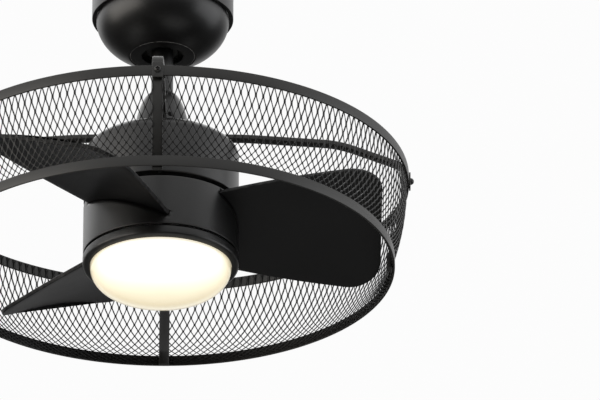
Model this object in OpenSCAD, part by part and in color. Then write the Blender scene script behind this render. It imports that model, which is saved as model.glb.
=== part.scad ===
// Caged ceiling fan with a light: a drum of expanded metal round three short blades.
// Millimetres. The origin is on the ceiling plane, on the fan's axis, and the fan hangs down -Z.
// Heights called "level" are above (+) or below (-) the cage's top edge.

/* [Cage] */
// Drop from the ceiling to the cage's top edge
cage_drop = 245; // [235:1:275]
// Outer radius of the top ring
cage_r = 300; // [294:1:320]
// How much smaller the bottom ring's outer radius is
cage_taper = 17.6; // [10:0.2:22]
// Height of the cage, edge to edge
cage_h = 122.6; // [118:0.2:135]
// Height of each ring's band
ring_h = 13; // [11:0.5:15]
// Thickness of each ring's band
ring_t = 2.4; // [1.6:0.1:4]
// Thickness of the mesh wall
mesh_t = 1.2; // [0.8:0.1:2]
// Gap left between neighbouring mesh panels, behind each arm
mesh_joint = 10; // [9:0.5:11]

/* [Cage arms] */
// Width of the flat bar
arm_w = 12.7; // [12:0.1:16]
// Thickness of the flat bar
arm_t = 6; // [5:0.5:7]
// Level of the arms' top face over the motor housing
arm_top = 54.6; // [53:0.2:58]
// Radius at which an arm ends beside the coupling cover
arm_end_r = 38; // [37:0.5:39]
// Radius at which an arm starts to fall
arm_flat_r = 100; // [90:1:120]
// Radius of an arm's knee
arm_knee_r = 215; // [200:1:230]
// Level of an arm's top face at the knee
arm_knee = 47; // [45:0.5:49]
// Level of an arm's top face over the cage wall
arm_shoulder = 20.5; // [18:0.5:24]
// Radius of the bend from arm to leg, at mid thickness
arm_bend_r = 13; // [9:1:16]
// Radius of the gentle bends, at mid thickness
arm_knee_bend_r = 130; // [80:5:160]
// How far a leg shows below the bottom ring
leg_below = 1.8; // [0:0.2:4]

/* [Clamps] */
// Width of a clamp plate
clamp_w = 13; // [12:0.5:18]
// Height of a clamp plate
clamp_h = 20; // [18:0.5:26]
// Thickness of a clamp plate
clamp_t = 1.8; // [1.2:0.1:3]
// Radius of a clamp screw's domed head
clamp_head_r = 4.3; // [3.8:0.1:5]
// Height of a clamp screw's domed head
clamp_head_h = 4.2; // [3:0.1:5]
// Shank radius of a clamp screw
clamp_screw_r = 2.4; // [2:0.1:2.8]

/* [Upper housing] */
// Outer radius of the upper housing
housing_r = 93.9; // [92.5:0.1:97]
// Level of the shoulder where the dome starts
housing_shoulder = 26; // [22:0.5:28]
// Rise of the full dome over the shoulder
dome_rise = 27.6; // [27:0.1:30]
// Level of the upper housing's lower edge
housing_foot = -37.8; // [-39:0.1:-34]
// Wall of the upper housing
housing_t = 2.6; // [2:0.1:3.5]

/* [Hanger] */
// Outer radius of the downrod
rod_r = 13.35; // [12.5:0.05:13.5]
// Wall of the downrod
rod_t = 2.8; // [2:0.1:4]
// Level of the downrod's lower end
rod_foot = 62; // [60:0.5:66]
// Radius of the hanger ball
ball_r = 26; // [24:0.5:27]
// Depth of the ball's centre below the ceiling
ball_depth = 58; // [56:0.5:58]
// Height of the downrod's top over the ball's centre
rod_above = 28; // [24:1:30]
// Thickness of the ball's seat liner
liner_t = 2; // [1.5:0.1:2.5]
// Half the cone angle of the seat's lower opening
seat_angle = 52; // [50:1:56]
// Thickness of the bracket's steel
bracket_t = 3; // [2:0.25:3.5]
// Width of the bracket's legs
leg_w = 24; // [18:1:28]
// Width of the bracket's ceiling plate
plate_w = 62; // [56:1:66]
// Length of the bracket's wide part
plate_l = 128; // [118:1:132]
// Spacing of the two ceiling screws
ceiling_pitch = 89; // [84:1:92]
// Radius of the ceiling screws' slots
ceiling_hole_r = 2.75; // [2.25:0.25:3.5]
// Length of the ceiling screws' slots, end to end
ceiling_slot = 14; // [10:1:18]
// Radius of the wiring hole in the ceiling plate
wire_hole_r = 14; // [8:1:18]

/* [Canopy] */
// Largest radius of the canopy bowl
canopy_r = 81.4; // [79:0.2:84]
// Depth of the full bowl's curve below the trim ring
canopy_sag = 57.5; // [54:0.5:60]
// Depth of the canopy's flat bottom below the ceiling
canopy_depth = 81.5; // [81:0.5:84]
// Radius of the bowl's neck behind the trim ring
neck_r = 77.4; // [76:0.2:78]
// Wall of the canopy
canopy_t = 1.6; // [1.2:0.1:2]
// Outer radius of the bottom plate
base_r = 39.5; // [38:0.5:41]
// Radius of the hole that the downrod passes
base_hole_r = 25.4; // [25:0.1:27]
// Outer radius of the trim ring
trim_r = 86.4; // [84:0.2:88]
// Wall of the trim ring
trim_t = 3; // [1.5:0.1:3.2]
// Height of the trim ring
trim_h = 32; // [28:1:34]

/* [Coupling] */
// Outer radius of the motor coupling
coupling_r = 18.5; // [17.5:0.5:20]
// Level of the motor coupling's top
coupling_top = 90; // [86:1:94]
// Radius of the motor coupling's flange
flange_r = 31; // [30:0.5:31.5]
// Thickness of the motor coupling's flange
flange_t = 4; // [3:0.5:5]
// Level of the coupling cover's top
bell_top = 112; // [108:1:118]
// Radius of the coupling cover's foot
bell_foot_r = 35.5; // [35:0.5:36.5]
// Bulge of the coupling cover's side
bell_bulge = 3; // [2:0.5:4]
// Wall of the coupling cover
bell_t = 1.6; // [1.2:0.1:2]
// Level of the cover screws
cover_screw_level = 73; // [72:1:76]
// Angle of a cover screw either side of the front
cover_screw_angle = 19; // [19:1:30]
// Radius of the coupling's cross pin and the ball's cross pin
pin_r = 3.1; // [2.5:0.1:3.5]

/* [Motor] */
// Outer radius of the fixed shaft
shaft_r = 8.5; // [8:0.1:9]
// Radius of the shaft's wire way
shaft_bore_r = 5.5; // [4:0.1:6]
// Outer radius of a bearing
bearing_r = 20; // [18:0.5:21]
// Width of a bearing
bearing_w = 12; // [10:0.5:13]
// How far the rotor case lies inside the upper housing's outer face
rotor_inset = 25.9; // [24.9:0.1:26.9]
// Wall of the rotor case
rotor_t = 3; // [2.5:0.25:4]
// Gap from the stator core to each bearing
stator_gap = 1; // [0.5:0.1:2]
// Level of the joint between the rotor case's halves
rotor_split = -18; // [-20:0.5:-16]
// How far the stator core lies inside the rotor case's outer face
stator_inset = 11; // [10.5:0.5:13]
// Height of the stator core
stator_h = 20; // [16:1:21]
// Thickness of the magnets
magnet_t = 4.4; // [3.5:0.1:5]
// Air gap between stator and magnets
air_gap = 0.8; // [0.5:0.1:1.2]

/* [Hub and blades] */
// Outer radius of the turning hub
hub_r = 94; // [92:0.5:96]
// Level of the hub's top
hub_top = -43.2; // [-44.4:0.1:-42]
// Level of the hub's lower edge
hub_foot = -108; // [-109:0.2:-106]
// Wall of the hub
hub_t = 2.5; // [2:0.1:3]
// Radius of the blade carrier's boss
boss_r = 28; // [24:1:30]
// Level of the carrier's lower end
boss_foot = -96; // [-98:0.5:-92]
// Width of a carrier pad
pad_w = 48; // [36:1:52]
// Radius that a carrier pad reaches
pad_r = 83; // [76:1:85]
// Thickness of a carrier pad
pad_t = 5; // [4:0.5:6]
// Gap from the middle of a blade's tip to the bottom ring's outer radius
blade_tip_gap = 15.4; // [13:0.1:28]
// Radius at which a blade's root starts
blade_root_r = 50; // [46:1:54]
// Chord of a blade where its sides turn straight
blade_chord = 188; // [172:1:190]
// Share of that chord on the blade's high side
blade_high_share = 0.604; // [0.58:0.002:0.61]
// Radius of a blade's camber
blade_camber_r = 636; // [600:4:900]
// Thickness of a blade
blade_t = 5; // [4:0.25:5.5]
// Pitch of the blades
blade_pitch = 22; // [19:0.5:22.5]
// Level of the blades' middle
blade_level = -70.8; // [-72:0.2:-70.4]
// Turn of the first blade from the right-hand arm
blade_rest = 4.75; // [0:0.25:9]
// Gap round a blade where it passes the hub's wall
blade_gap = 0.6; // [0.4:0.1:1]

/* [Light] */
// Outer radius of the light's bezel
bezel_r = 94.3; // [93.6:0.1:97]
// Level of the bezel's top
bezel_top = -109.5; // [-111:0.1:-109.2]
// Level of the bezel's lower edge
bezel_foot = -122; // [-124:0.2:-121.4]
// Outer radius of the diffuser
diffuser_r = 86.6; // [85.6:0.1:87.2]
// Depth of the diffuser's bulge
diffuser_bulge = 38.5; // [30:0.5:42]
// Wall of the diffuser
diffuser_t = 2.4; // [1.8:0.1:3]
// Turn that frees the diffuser
bayonet_turn = 25; // [22:1:30]
// Radius of the lamp pan
pan_r = 88; // [87.6:0.1:88.6]
// Level of the lamp pan's top
pan_top = -104; // [-104.6:0.1:-103]
// Thickness of the lamp pan
pan_t = 2.4; // [2:0.1:2.6]
// Radius of the light board
board_r = 76; // [60:1:80]

/* [Hidden] */
$fn = 96;
// Radial clearance of a fixed fit
fit = 0.1;
// Radial clearance of a running fit
running = 0.05;
// Clearance between the ball, its liner and the bracket
ball_gap = 0.2;
// Clearance at which one piece seats on another
seat = 0.2;
eps = 0.01;

ARMS = ["right", "back", "left", "front"];

METAL = [0.10, 0.10, 0.10];
DARK = [0.06, 0.06, 0.06];
STEEL = [0.62, 0.63, 0.65];
NYLON = [0.20, 0.20, 0.20];
COPPER = [0.72, 0.42, 0.22];
OPAL = [0.98, 0.94, 0.84];
BOARD = [0.90, 0.90, 0.88];

// Height above the ceiling plane of a level on the cage
function at(level) = level - cage_drop;

cage_foot_r = cage_r - cage_taper;
blade_r = cage_foot_r - blade_tip_gap;
rotor_r = housing_r - rotor_inset;
stator_r = rotor_r - stator_inset;

// Seats along the axis
land = arm_top - arm_t;
land_r = housing_r * sqrt(1 - pow((land - housing_shoulder) / dome_rise, 2));
rotor_foot = hub_top;
rotor_top = rotor_foot + stator_h + 2 * (rotor_t + bearing_w + stator_gap);
web_t = 3;
web_foot = hub_top - web_t;
stator_mid = (rotor_top + rotor_foot) / 2;
board_t = 1.6;
board_top = pan_top - pan_t;
shaft_foot = board_top - 7;
shaft_top = rod_foot - 4;

// ---------------------------------------------------------------- shared shapes

module ring(r_out, r_in, low, high) {
    translate([0, 0, low])
        difference() {
            cylinder(r = r_out, h = high - low);
            translate([0, 0, -1]) cylinder(r = r_in, h = high - low + 2);
        }
}

module rod_along_x(r, x0, x1) {
    translate([x0, 0, 0]) rotate([0, 90, 0]) cylinder(r = r, h = x1 - x0);
}

recess_w = 1.1;
recess_deep = 0.9;

// A pan-head screw whose head stands on +X and whose shank runs to -X
module pan_screw(head_r, head_h, shank_r, shank_l) {
    rod_along_x(shank_r, -shank_l, eps);
    difference() {
        rod_along_x(head_r, 0, head_h);
        translate([head_h, 0, 0]) {
            cube([2 * recess_deep, head_r * 1.1, recess_w], center = true);
            cube([2 * recess_deep, recess_w, head_r * 1.1], center = true);
        }
    }
}

// A screw that stands on +Z, head up
module up_screw(head_r, head_h, shank_r, shank_l) {
    rotate([0, -90, 0]) pan_screw(head_r, head_h, shank_r, shank_l);
}

// Points of an arc that rounds the corner p1 between p0 and p2
function unit(v) = v / norm(v);
function corner(p0, p1, p2, r, n) =
    let (a = unit(p0 - p1), b = unit(p2 - p1),
         half = acos(a * b) / 2,
         centre = p1 + unit(a + b) * r / sin(half),
         s = p1 + a * r / tan(half) - centre,
         e = p1 + b * r / tan(half) - centre,
         a0 = atan2(s[1], s[0]),
         turn = atan2(e[1], e[0]) - a0,
         sweep = turn > 180 ? turn - 360 : turn < -180 ? turn + 360 : turn)
    [for (i = [0 : n]) centre + r * [cos(a0 + sweep * i / n), sin(a0 + sweep * i / n)]];

// ---------------------------------------------------------------- cage

mesh_top_r = cage_r - ring_t - seat;
wall_run = cage_h - 2 * ring_h;
wall_arc_r = (pow(wall_run, 2) + pow(cage_taper, 2)) / (2 * cage_taper);
WALL_STEPS = 10;

// Outer radius of the mesh wall at a level
function wall_r(level) =
    let (down = min(max(-level - ring_h, 0), wall_run))
    mesh_top_r - wall_arc_r + sqrt(pow(wall_arc_r, 2) - pow(down, 2));

// Points down the wall, set in from its outer face
function wall_line(inset, top, foot) = concat(
    [[wall_r(0) - inset, top]],
    [for (i = [0 : WALL_STEPS])
        let (level = -ring_h - wall_run * i / WALL_STEPS) [wall_r(level) - inset, level]],
    [[wall_r(-cage_h) - inset, foot]]);

function backwards(line) = [for (i = [len(line) - 1 : -1 : 0]) line[i]];

MESH_ACROSS = 12;
MESH_ROWS = 4;
mesh_bar = 3.5;
mesh_hem = 10;
mesh_edge = 1;

// Quarter of the mesh wall, with a plain grid of openings that stands for its fine diamonds
module mesh_panel(turn) {
    inset = asin(mesh_joint / 2 / cage_r);
    bar_turn = asin(mesh_bar / cage_r);
    step = (90 - 2 * inset - bar_turn) / MESH_ACROSS;
    row = (cage_h - 2 * mesh_hem + mesh_bar) / MESH_ROWS;
    inside_r = cage_foot_r - 2 * mesh_hem;
    color(METAL)
        translate([0, 0, at(0)]) rotate([0, 0, turn + inset])
            difference() {
                rotate_extrude(angle = 90 - 2 * inset)
                    polygon(concat(wall_line(0, -mesh_edge, mesh_edge - cage_h),
                        backwards(wall_line(mesh_t, -mesh_edge, mesh_edge - cage_h))));
                for (i = [0 : MESH_ACROSS - 1], k = [1 : MESH_ROWS])
                    rotate([0, 0, bar_turn + step * i])
                        rotate_extrude(angle = step - bar_turn)
                            translate([inside_r, mesh_bar - mesh_hem - row * k])
                                square([cage_r - inside_r, row - mesh_bar]);
            }
}

clamp_rise = 0.3;
clamp_mid = clamp_rise - ring_h / 2;

module cage_top_ring() {
    color(METAL)
        difference() {
            ring(cage_r, cage_r - ring_t, at(-ring_h), at(0));
            for (i = [0 : 3])
                rotate([0, 0, 90 * i]) translate([0, 0, at(clamp_mid)])
                    rod_along_x(clamp_screw_r + fit, cage_r - ring_t - 2, cage_r + 2);
        }
}

module cage_bottom_ring() {
    color(METAL) ring(cage_foot_r, cage_foot_r - ring_t, at(-cage_h), at(ring_h - cage_h));
}

arm_inset = mesh_t + seat;
arm_mid_inset = arm_inset + arm_t / 2;

// Middle of an arm's leg beside the wall at a level
function leg_r(level) =
    wall_r(level) - arm_inset - arm_t / 2 / cos(asin(max(-level - ring_h, 0) / wall_arc_r));

arm_mid_drop = arm_t / 2;
knee_slope = (arm_shoulder - arm_knee) / (wall_r(0) - arm_inset - arm_knee_r);
arm_corner = [wall_r(0) - arm_mid_inset, arm_shoulder - arm_mid_drop - knee_slope * arm_mid_inset];

// Middle line of an arm, from the hub out, over and down the cage wall
arm_flat = [arm_flat_r, arm_top - arm_mid_drop];
arm_bow = [arm_knee_r, arm_knee - arm_mid_drop];
arm_start = [arm_end_r, arm_top - arm_mid_drop];
leg_foot = -cage_h - leg_below;
arm_mid_line = concat(
    [arm_start],
    corner(arm_start, arm_flat, arm_bow, 4 * arm_knee_bend_r, 3),
    corner(arm_flat, arm_bow, arm_corner, arm_knee_bend_r, 5),
    corner(arm_bow, arm_corner, [arm_corner[0], leg_foot], arm_bend_r, 8),
    [for (i = [0 : WALL_STEPS])
        let (level = -ring_h - wall_run * i / WALL_STEPS) [leg_r(level), level]],
    [[wall_r(-cage_h) - arm_mid_inset, leg_foot]]);

// A line moved sideways by d
function beside(line, d) =
    [for (i = [0 : len(line) - 1])
        let (a = line[max(i - 1, 0)], b = line[min(i + 1, len(line) - 1)], t = unit(b - a))
        line[i] + d * [-t[1], t[0]]];

arm_screw_edge = 4.5;
arm_screw_pitch = 7;
arm_screw_rs = [arm_end_r + arm_screw_edge, arm_end_r + arm_screw_edge + arm_screw_pitch];
arm_screw_r = 2;
arm_screw_head_r = 3.5;
small_head_h = 2.4;
screw_end = 3;

module cage_arm(turn) {
    color(METAL)
        difference() {
            rotate([0, 0, turn]) translate([0, arm_w / 2, at(0)]) rotate([90, 0, 0])
                linear_extrude(arm_w)
                    polygon(concat(beside(arm_mid_line, arm_t / 2),
                        backwards(beside(arm_mid_line, -arm_t / 2))));
            rotate([0, 0, turn]) {
                for (r = arm_screw_rs)
                    translate([r, 0, at(land - 1)]) cylinder(r = arm_screw_r + fit, h = arm_t + 2);
                translate([0, 0, at(clamp_mid)])
                    rod_along_x(clamp_screw_r + fit, cage_r - ring_t - 3 - mesh_t - arm_t, cage_r);
            }
        }
}

module arm_screws() {
    color(STEEL)
        for (i = [0 : 3], r = arm_screw_rs)
            rotate([0, 0, 90 * i]) translate([r, 0, at(arm_top)])
                up_screw(arm_screw_head_r, small_head_h, arm_screw_r, arm_t + housing_t + screw_end);
}

module clamp_plates() {
    color(METAL)
        for (i = [0 : 3])
            rotate([0, 0, 90 * i])
                difference() {
                    translate([cage_r, -clamp_w / 2, at(clamp_mid - clamp_h / 2)])
                        cube([clamp_t, clamp_w, clamp_h]);
                    translate([0, 0, at(clamp_mid)])
                        rod_along_x(clamp_screw_r + fit, cage_r - 1, cage_r + clamp_t + 1);
                }
}

// Domed screws that pin the top ring between the clamp plates and the arms
module clamp_screws() {
    face = cage_r + clamp_t;
    shank_end = cage_r - ring_t - seat - arm_inset - arm_t + 1;
    dome = [for (i = [0 : 8]) [clamp_head_r * cos(90 * i / 8), clamp_head_h * sin(90 * i / 8)]];
    color(METAL)
        for (i = [0 : 3])
            rotate([0, 0, 90 * i]) translate([0, 0, at(clamp_mid)]) {
                rod_along_x(clamp_screw_r, shank_end, face + eps);
                translate([face, 0, 0]) rotate([0, 90, 0])
                    rotate_extrude($fn = 48) polygon(concat([[0, 0]], dome));
            }
}

// ---------------------------------------------------------------- ceiling bracket and canopy

liner_r = ball_r + ball_gap;
cradle_r = liner_r + liner_t + ball_gap;
cradle_out_r = cradle_r + bracket_t;
cradle_lap = 0.3;
cradle_band = 4;
leg_x = cradle_r + cradle_lap;
tab_w = 24;
tab_x = sqrt(pow(neck_r - canopy_t - seat, 2) - pow(tab_w / 2, 2));
tab_h = 24;
screw_depth = 16;
canopy_screw_r = 2;
canopy_screw_head_r = 3.6;
ball_z = -ball_depth;

// The lower zone of a ball's seat, from its equator down to the opening
module seat_zone(r_out, r_in, low_extra) {
    difference() {
        sphere(r = r_out);
        sphere(r = r_in);
        translate([0, 0, r_out]) cube([3 * r_out, 3 * r_out, 2 * r_out], center = true);
        translate([0, 0, -r_out - r_in * cos(seat_angle) - low_extra])
            cube([3 * r_out, 3 * r_out, 2 * r_out], center = true);
    }
}

module hanger_bracket() {
    color(STEEL) {
        difference() {
            union() {
                translate([-plate_l / 2, -plate_w / 2, -bracket_t]) cube([plate_l, plate_w, bracket_t]);
                translate([-tab_x, -tab_w / 2, -bracket_t]) cube([2 * tab_x, tab_w, bracket_t]);
                for (side = [0, 180])
                    rotate([0, 0, side]) {
                        translate([tab_x - bracket_t, -tab_w / 2, -tab_h]) cube([bracket_t, tab_w, tab_h]);
                        translate([leg_x, -leg_w / 2, ball_z]) cube([bracket_t, leg_w, ball_depth]);
                    }
                translate([0, 0, ball_z])
                    difference() {
                        union() {
                            seat_zone(cradle_out_r, cradle_r, 0);
                            ring(cradle_out_r + cradle_lap, cradle_r, -cradle_band, 0);
                        }
                        sphere(r = cradle_r);
                    }
            }
            translate([0, 0, -bracket_t - 1]) cylinder(r = wire_hole_r, h = bracket_t + 2);
            for (side = [-1, 1])
                translate([side * ceiling_pitch / 2, 0, -bracket_t - 1]) {
                    slot_half = ceiling_slot / 2 - ceiling_hole_r;
                    translate([-slot_half, -ceiling_hole_r, 0])
                        cube([2 * slot_half, 2 * ceiling_hole_r, bracket_t + 2]);
                    for (end = [-1, 1])
                        translate([end * slot_half, 0, 0]) cylinder(r = ceiling_hole_r, h = bracket_t + 2);
                }
            for (side = [0, 180])
                rotate([0, 0, side]) translate([0, 0, -screw_depth])
                    rod_along_x(canopy_screw_r + fit, tab_x - bracket_t - 1, tab_x + 1);
        }
    }
}

BOWL_STEPS = 14;
bowl_centre = -trim_h;

// Points down a bowl's side, from its rim to its flat bottom
function bowl_line(inset) =
    let (a = canopy_r - inset, c = canopy_sag - inset, drop = canopy_depth - trim_h - inset,
         last = asin(drop / c))
    [for (i = [0 : BOWL_STEPS])
        let (t = last * i / BOWL_STEPS) [a * cos(t), bowl_centre - c * sin(t)]];

base_t = 1.5;
flange_in_r = base_hole_r + 4.5;

module canopy_bowl() {
    rim = -2;
    ledge = bowl_centre - canopy_t;
    ledge_r = (canopy_r - canopy_t) * sqrt(1 - pow(canopy_t / (canopy_sag - canopy_t), 2));
    floor_top = base_t + canopy_t - canopy_depth;
    color(METAL)
        difference() {
            rotate_extrude()
                polygon(concat(
                    [[neck_r - canopy_t, rim], [neck_r, rim], [neck_r, bowl_centre]],
                    bowl_line(0),
                    [[base_r + fit, -canopy_depth], [base_r + fit, base_t - canopy_depth],
                     [flange_in_r, base_t - canopy_depth], [flange_in_r, floor_top]],
                    [for (p = backwards(bowl_line(canopy_t))) if (p[1] > floor_top && p[1] < ledge) p],
                    [[ledge_r, ledge], [neck_r - canopy_t, ledge]]));
            for (side = [0, 180])
                rotate([0, 0, side]) translate([0, 0, -screw_depth])
                    rod_along_x(canopy_screw_r + fit, neck_r - canopy_t - 2, neck_r + 2);
        }
}

module canopy_base_plate() {
    color(METAL) ring(base_r, base_hole_r, -canopy_depth, base_t - canopy_depth);
}

// The trim ring grips the bowl's neck by four ribs
rib_w = 6;
rib_inset = 5;

module canopy_trim_ring() {
    color(METAL) {
        ring(trim_r, trim_r - trim_t, -trim_h, 0);
        for (i = [0 : 3])
            rotate([0, 0, 45 + 90 * i]) translate([neck_r + seat, -rib_w / 2, rib_inset - trim_h])
                cube([trim_r - trim_t / 2 - neck_r - seat, rib_w, trim_h - 2 * rib_inset]);
    }
}

module canopy_screws() {
    color(METAL)
        for (side = [0, 180])
            rotate([0, 0, side]) translate([neck_r + seat, 0, -screw_depth])
                pan_screw(canopy_screw_head_r, small_head_h, canopy_screw_r,
                    neck_r - tab_x + bracket_t + screw_end - 1);
}

receiver_size = [54, 24, 20];
receiver_lap = 5;

module receiver_box() {
    color(DARK)
        translate([-receiver_size[0] / 2, plate_w / 2 - receiver_lap, -bracket_t - receiver_size[2]])
            cube(receiver_size);
}

terminal_size = [32, 12, 12];
terminal_lap = 5;
terminal_pitch = 7;
terminal_hole_r = 1.6;
TERMINALS = 4;

module terminal_block() {
    color(OPAL)
        translate([0, terminal_lap - plate_w / 2 - terminal_size[1], -bracket_t - terminal_size[2]])
            difference() {
                translate([-terminal_size[0] / 2, 0, 0]) cube(terminal_size);
                for (i = [0 : TERMINALS - 1])
                    translate([(i - (TERMINALS - 1) / 2) * terminal_pitch, -1, terminal_size[2] / 2])
                        rotate([-90, 0, 0]) cylinder(r = terminal_hole_r, h = terminal_size[1] + 2);
            }
}

module ball_seat_liner() {
    color(NYLON) translate([0, 0, ball_z]) seat_zone(liner_r + liner_t, liner_r, 0);
}

ball_pin_up = 6;
ball_pin_l = 44;
ball_top = 14;
ball_foot = 18;

module hanger_ball() {
    color(NYLON)
        translate([0, 0, ball_z])
            difference() {
                sphere(r = ball_r);
                translate([0, 0, -ball_r - 1]) cylinder(r = rod_r + fit, h = 2 * ball_r + 2);
                for (z = [ball_top + ball_r, -ball_foot - ball_r])
                    translate([0, 0, z]) cube([3 * ball_r, 3 * ball_r, 2 * ball_r], center = true);
                translate([0, 0, ball_pin_up]) rod_along_x(pin_r + fit, -ball_r, ball_r);
            }
}

module ball_cross_pin() {
    color(STEEL) translate([0, 0, ball_z + ball_pin_up]) rod_along_x(pin_r, -ball_pin_l / 2, ball_pin_l / 2);
}

coupling_pin_level = 79;
set_screw_level = 68;
set_screw_r = 2.4;
set_screw_proud = 0.6;

module downrod() {
    color(METAL)
        difference() {
            ring(rod_r, rod_r - rod_t, at(rod_foot), ball_z + rod_above);
            translate([0, 0, ball_z + ball_pin_up]) rod_along_x(pin_r + fit, -rod_r - 1, rod_r + 1);
            translate([0, 0, at(coupling_pin_level)]) rod_along_x(pin_r + fit, -rod_r - 1, rod_r + 1);
        }
}

// ---------------------------------------------------------------- coupling

bolt_ring_r = 24.5;
coupling_bolt_r = 2.4;
coupling_bolt_head_r = 4;
coupling_bolt_head_h = 3;
cover_screw_r = 1.7;
cover_screw_head_r = 3;
cover_screw_head_h = 1.8;
cover_screw_bite = 3;
cover_azimuths = [for (side = [-90, 90], way = [-1, 1]) side + way * cover_screw_angle];

bell_bore_r = rod_r + 0.3;
bell_neck_r = rod_r + 1.2;
BELL_STEPS = 10;

// Outer radius of the coupling cover at a level
function bell_r(level) =
    let (u = (level - land) / (bell_top - land))
    bell_foot_r + (bell_neck_r - bell_foot_r) * u + bell_bulge * 4 * u * (1 - u);

module motor_coupling() {
    color(STEEL)
        difference() {
            union() {
                ring(flange_r, shaft_r + fit, at(land), at(land + flange_t));
                ring(coupling_r, shaft_r + fit, at(land), at(coupling_top));
            }
            translate([0, 0, at(rod_foot)]) cylinder(r = rod_r + fit, h = coupling_top - rod_foot + 1);
            translate([0, 0, at(coupling_pin_level)])
                rod_along_x(pin_r + fit, -coupling_r - 1, coupling_r + 1);
            rotate([0, 0, 90]) translate([0, 0, at(set_screw_level)])
                rod_along_x(set_screw_r + fit, -coupling_r - 1, coupling_r + 1);
            for (i = [0 : 3])
                rotate([0, 0, 45 + 90 * i]) translate([bolt_ring_r, 0, at(land - 1)])
                    cylinder(r = coupling_bolt_r + fit, h = flange_t + 2);
            for (a = cover_azimuths)
                rotate([0, 0, a]) translate([0, 0, at(cover_screw_level)])
                    rod_along_x(cover_screw_r + fit, coupling_r - cover_screw_bite, coupling_r + 1);
        }
}

module coupling_pin() {
    color(STEEL)
        translate([0, 0, at(coupling_pin_level)]) rod_along_x(pin_r, 0.5 - coupling_r, coupling_r - 0.5);
}

module coupling_set_screws() {
    color(STEEL)
        for (side = [90, 270])
            rotate([0, 0, side]) translate([0, 0, at(set_screw_level)])
                rod_along_x(set_screw_r, rod_r + fit, coupling_r + set_screw_proud);
}

module coupling_bolts() {
    color(STEEL)
        for (i = [0 : 3])
            rotate([0, 0, 45 + 90 * i]) translate([bolt_ring_r, 0, at(land + flange_t)])
                up_screw(coupling_bolt_head_r, coupling_bolt_head_h, coupling_bolt_r,
                    flange_t + housing_t + screw_end);
}

module coupling_cover() {
    levels = [for (i = [0 : BELL_STEPS]) land + seat + (bell_top - land - seat) * i / BELL_STEPS];
    outer = [for (l = levels) [bell_r(l), at(l)]];
    inner = [for (l = levels) if (l < bell_top - bell_t) [max(bell_r(l) - bell_t, bell_bore_r), at(l)]];
    color(METAL)
        difference() {
            rotate_extrude()
                polygon(concat(outer, [[bell_bore_r, at(bell_top)], [bell_bore_r, at(bell_top - bell_t)]],
                    backwards(inner)));
            for (a = cover_azimuths)
                rotate([0, 0, a]) translate([0, 0, at(cover_screw_level)])
                    rod_along_x(cover_screw_r + fit, coupling_r + 1, bell_foot_r + 5);
        }
}

module cover_screws() {
    head_low = bell_r(cover_screw_level - cover_screw_head_r);
    color(DARK)
        for (a = cover_azimuths)
            rotate([0, 0, a]) translate([head_low, 0, at(cover_screw_level)])
                pan_screw(cover_screw_head_r, cover_screw_head_h, cover_screw_r,
                    head_low - coupling_r + cover_screw_bite - 0.5);
}

// ---------------------------------------------------------------- upper housing

DOME_STEPS = 14;

// Points down a dome's side from the flat land to the shoulder
function dome_line(inset) =
    let (a = housing_r - inset, c = dome_rise - inset, up = land - inset - housing_shoulder,
         first = asin(up / c))
    [for (i = [0 : DOME_STEPS])
        let (t = first * (1 - i / DOME_STEPS)) [a * cos(t), at(housing_shoulder) + c * sin(t)]];

base_ring_gap = 2;
base_ring_in_r = rotor_r + base_ring_gap;
base_ring_t = 2;
base_ring_rise = 6;
base_ring_top = housing_foot + base_ring_rise;
lug_r = 3.4;
lug_h = 8;
lug_ring_r = housing_r - housing_t - lug_r;
LUG_ANGLES = [30, 150, 270];
base_screw_r = 1.6;
base_screw_head_r = 2.8;
base_screw_head_h = 1.8;

module upper_housing() {
    color(METAL)
        difference() {
            union() {
                rotate_extrude()
                    polygon(concat([[shaft_r + 1, at(land)]], dome_line(0),
                        [[housing_r, at(housing_foot)], [housing_r - housing_t, at(housing_foot)]],
                        backwards(dome_line(housing_t)), [[shaft_r + 1, at(land - housing_t)]]));
                for (a = LUG_ANGLES)
                    rotate([0, 0, a]) translate([lug_ring_r, -lug_r, at(base_ring_top)])
                        cube([lug_r + 0.5, 2 * lug_r, lug_h]);
            }
            for (i = [0 : 3], r = arm_screw_rs)
                rotate([0, 0, 90 * i]) translate([r, 0, at(land - housing_t - 1)])
                    cylinder(r = arm_screw_r + fit, h = housing_t + 2);
            for (i = [0 : 3])
                rotate([0, 0, 45 + 90 * i]) translate([bolt_ring_r, 0, at(land - housing_t - 1)])
                    cylinder(r = coupling_bolt_r + fit, h = housing_t + 2);
            for (a = LUG_ANGLES)
                rotate([0, 0, a]) translate([lug_ring_r, 0, at(base_ring_top - 1)])
                    cylinder(r = base_screw_r + fit, h = lug_h);
        }
}

module housing_base_ring() {
    color(METAL)
        difference() {
            ring(housing_r - housing_t - seat, base_ring_in_r,
                at(base_ring_top - base_ring_t), at(base_ring_top));
            for (a = LUG_ANGLES)
                rotate([0, 0, a]) translate([lug_ring_r, 0, at(base_ring_top - base_ring_t - 1)])
                    cylinder(r = base_screw_r + fit, h = base_ring_t + 2);
        }
}

module base_ring_screws() {
    color(STEEL)
        for (a = LUG_ANGLES)
            rotate([0, 0, a]) translate([lug_ring_r, 0, at(base_ring_top - base_ring_t)])
                mirror([0, 0, 1])
                    up_screw(base_screw_head_r, base_screw_head_h, base_screw_r, base_ring_t + lug_h - 2);
}

box_l = 36;
box_w = 19;
box_h = 20;
box_in_r = 29;

// Circuit boxes hang under the housing's flat land
module circuit_box(turn) {
    rotate([0, 0, turn]) translate([box_in_r, -box_l / 2, at(land - housing_t - box_h)])
        cube([box_w, box_l, box_h]);
}

module motor_controller() { color(DARK) circuit_box(45); }
module light_driver() { color(DARK) circuit_box(225); }

// ---------------------------------------------------------------- motor

pan_collar_r = 14;
pan_collar_t = 3;
stator_hub_r = 14;

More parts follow.
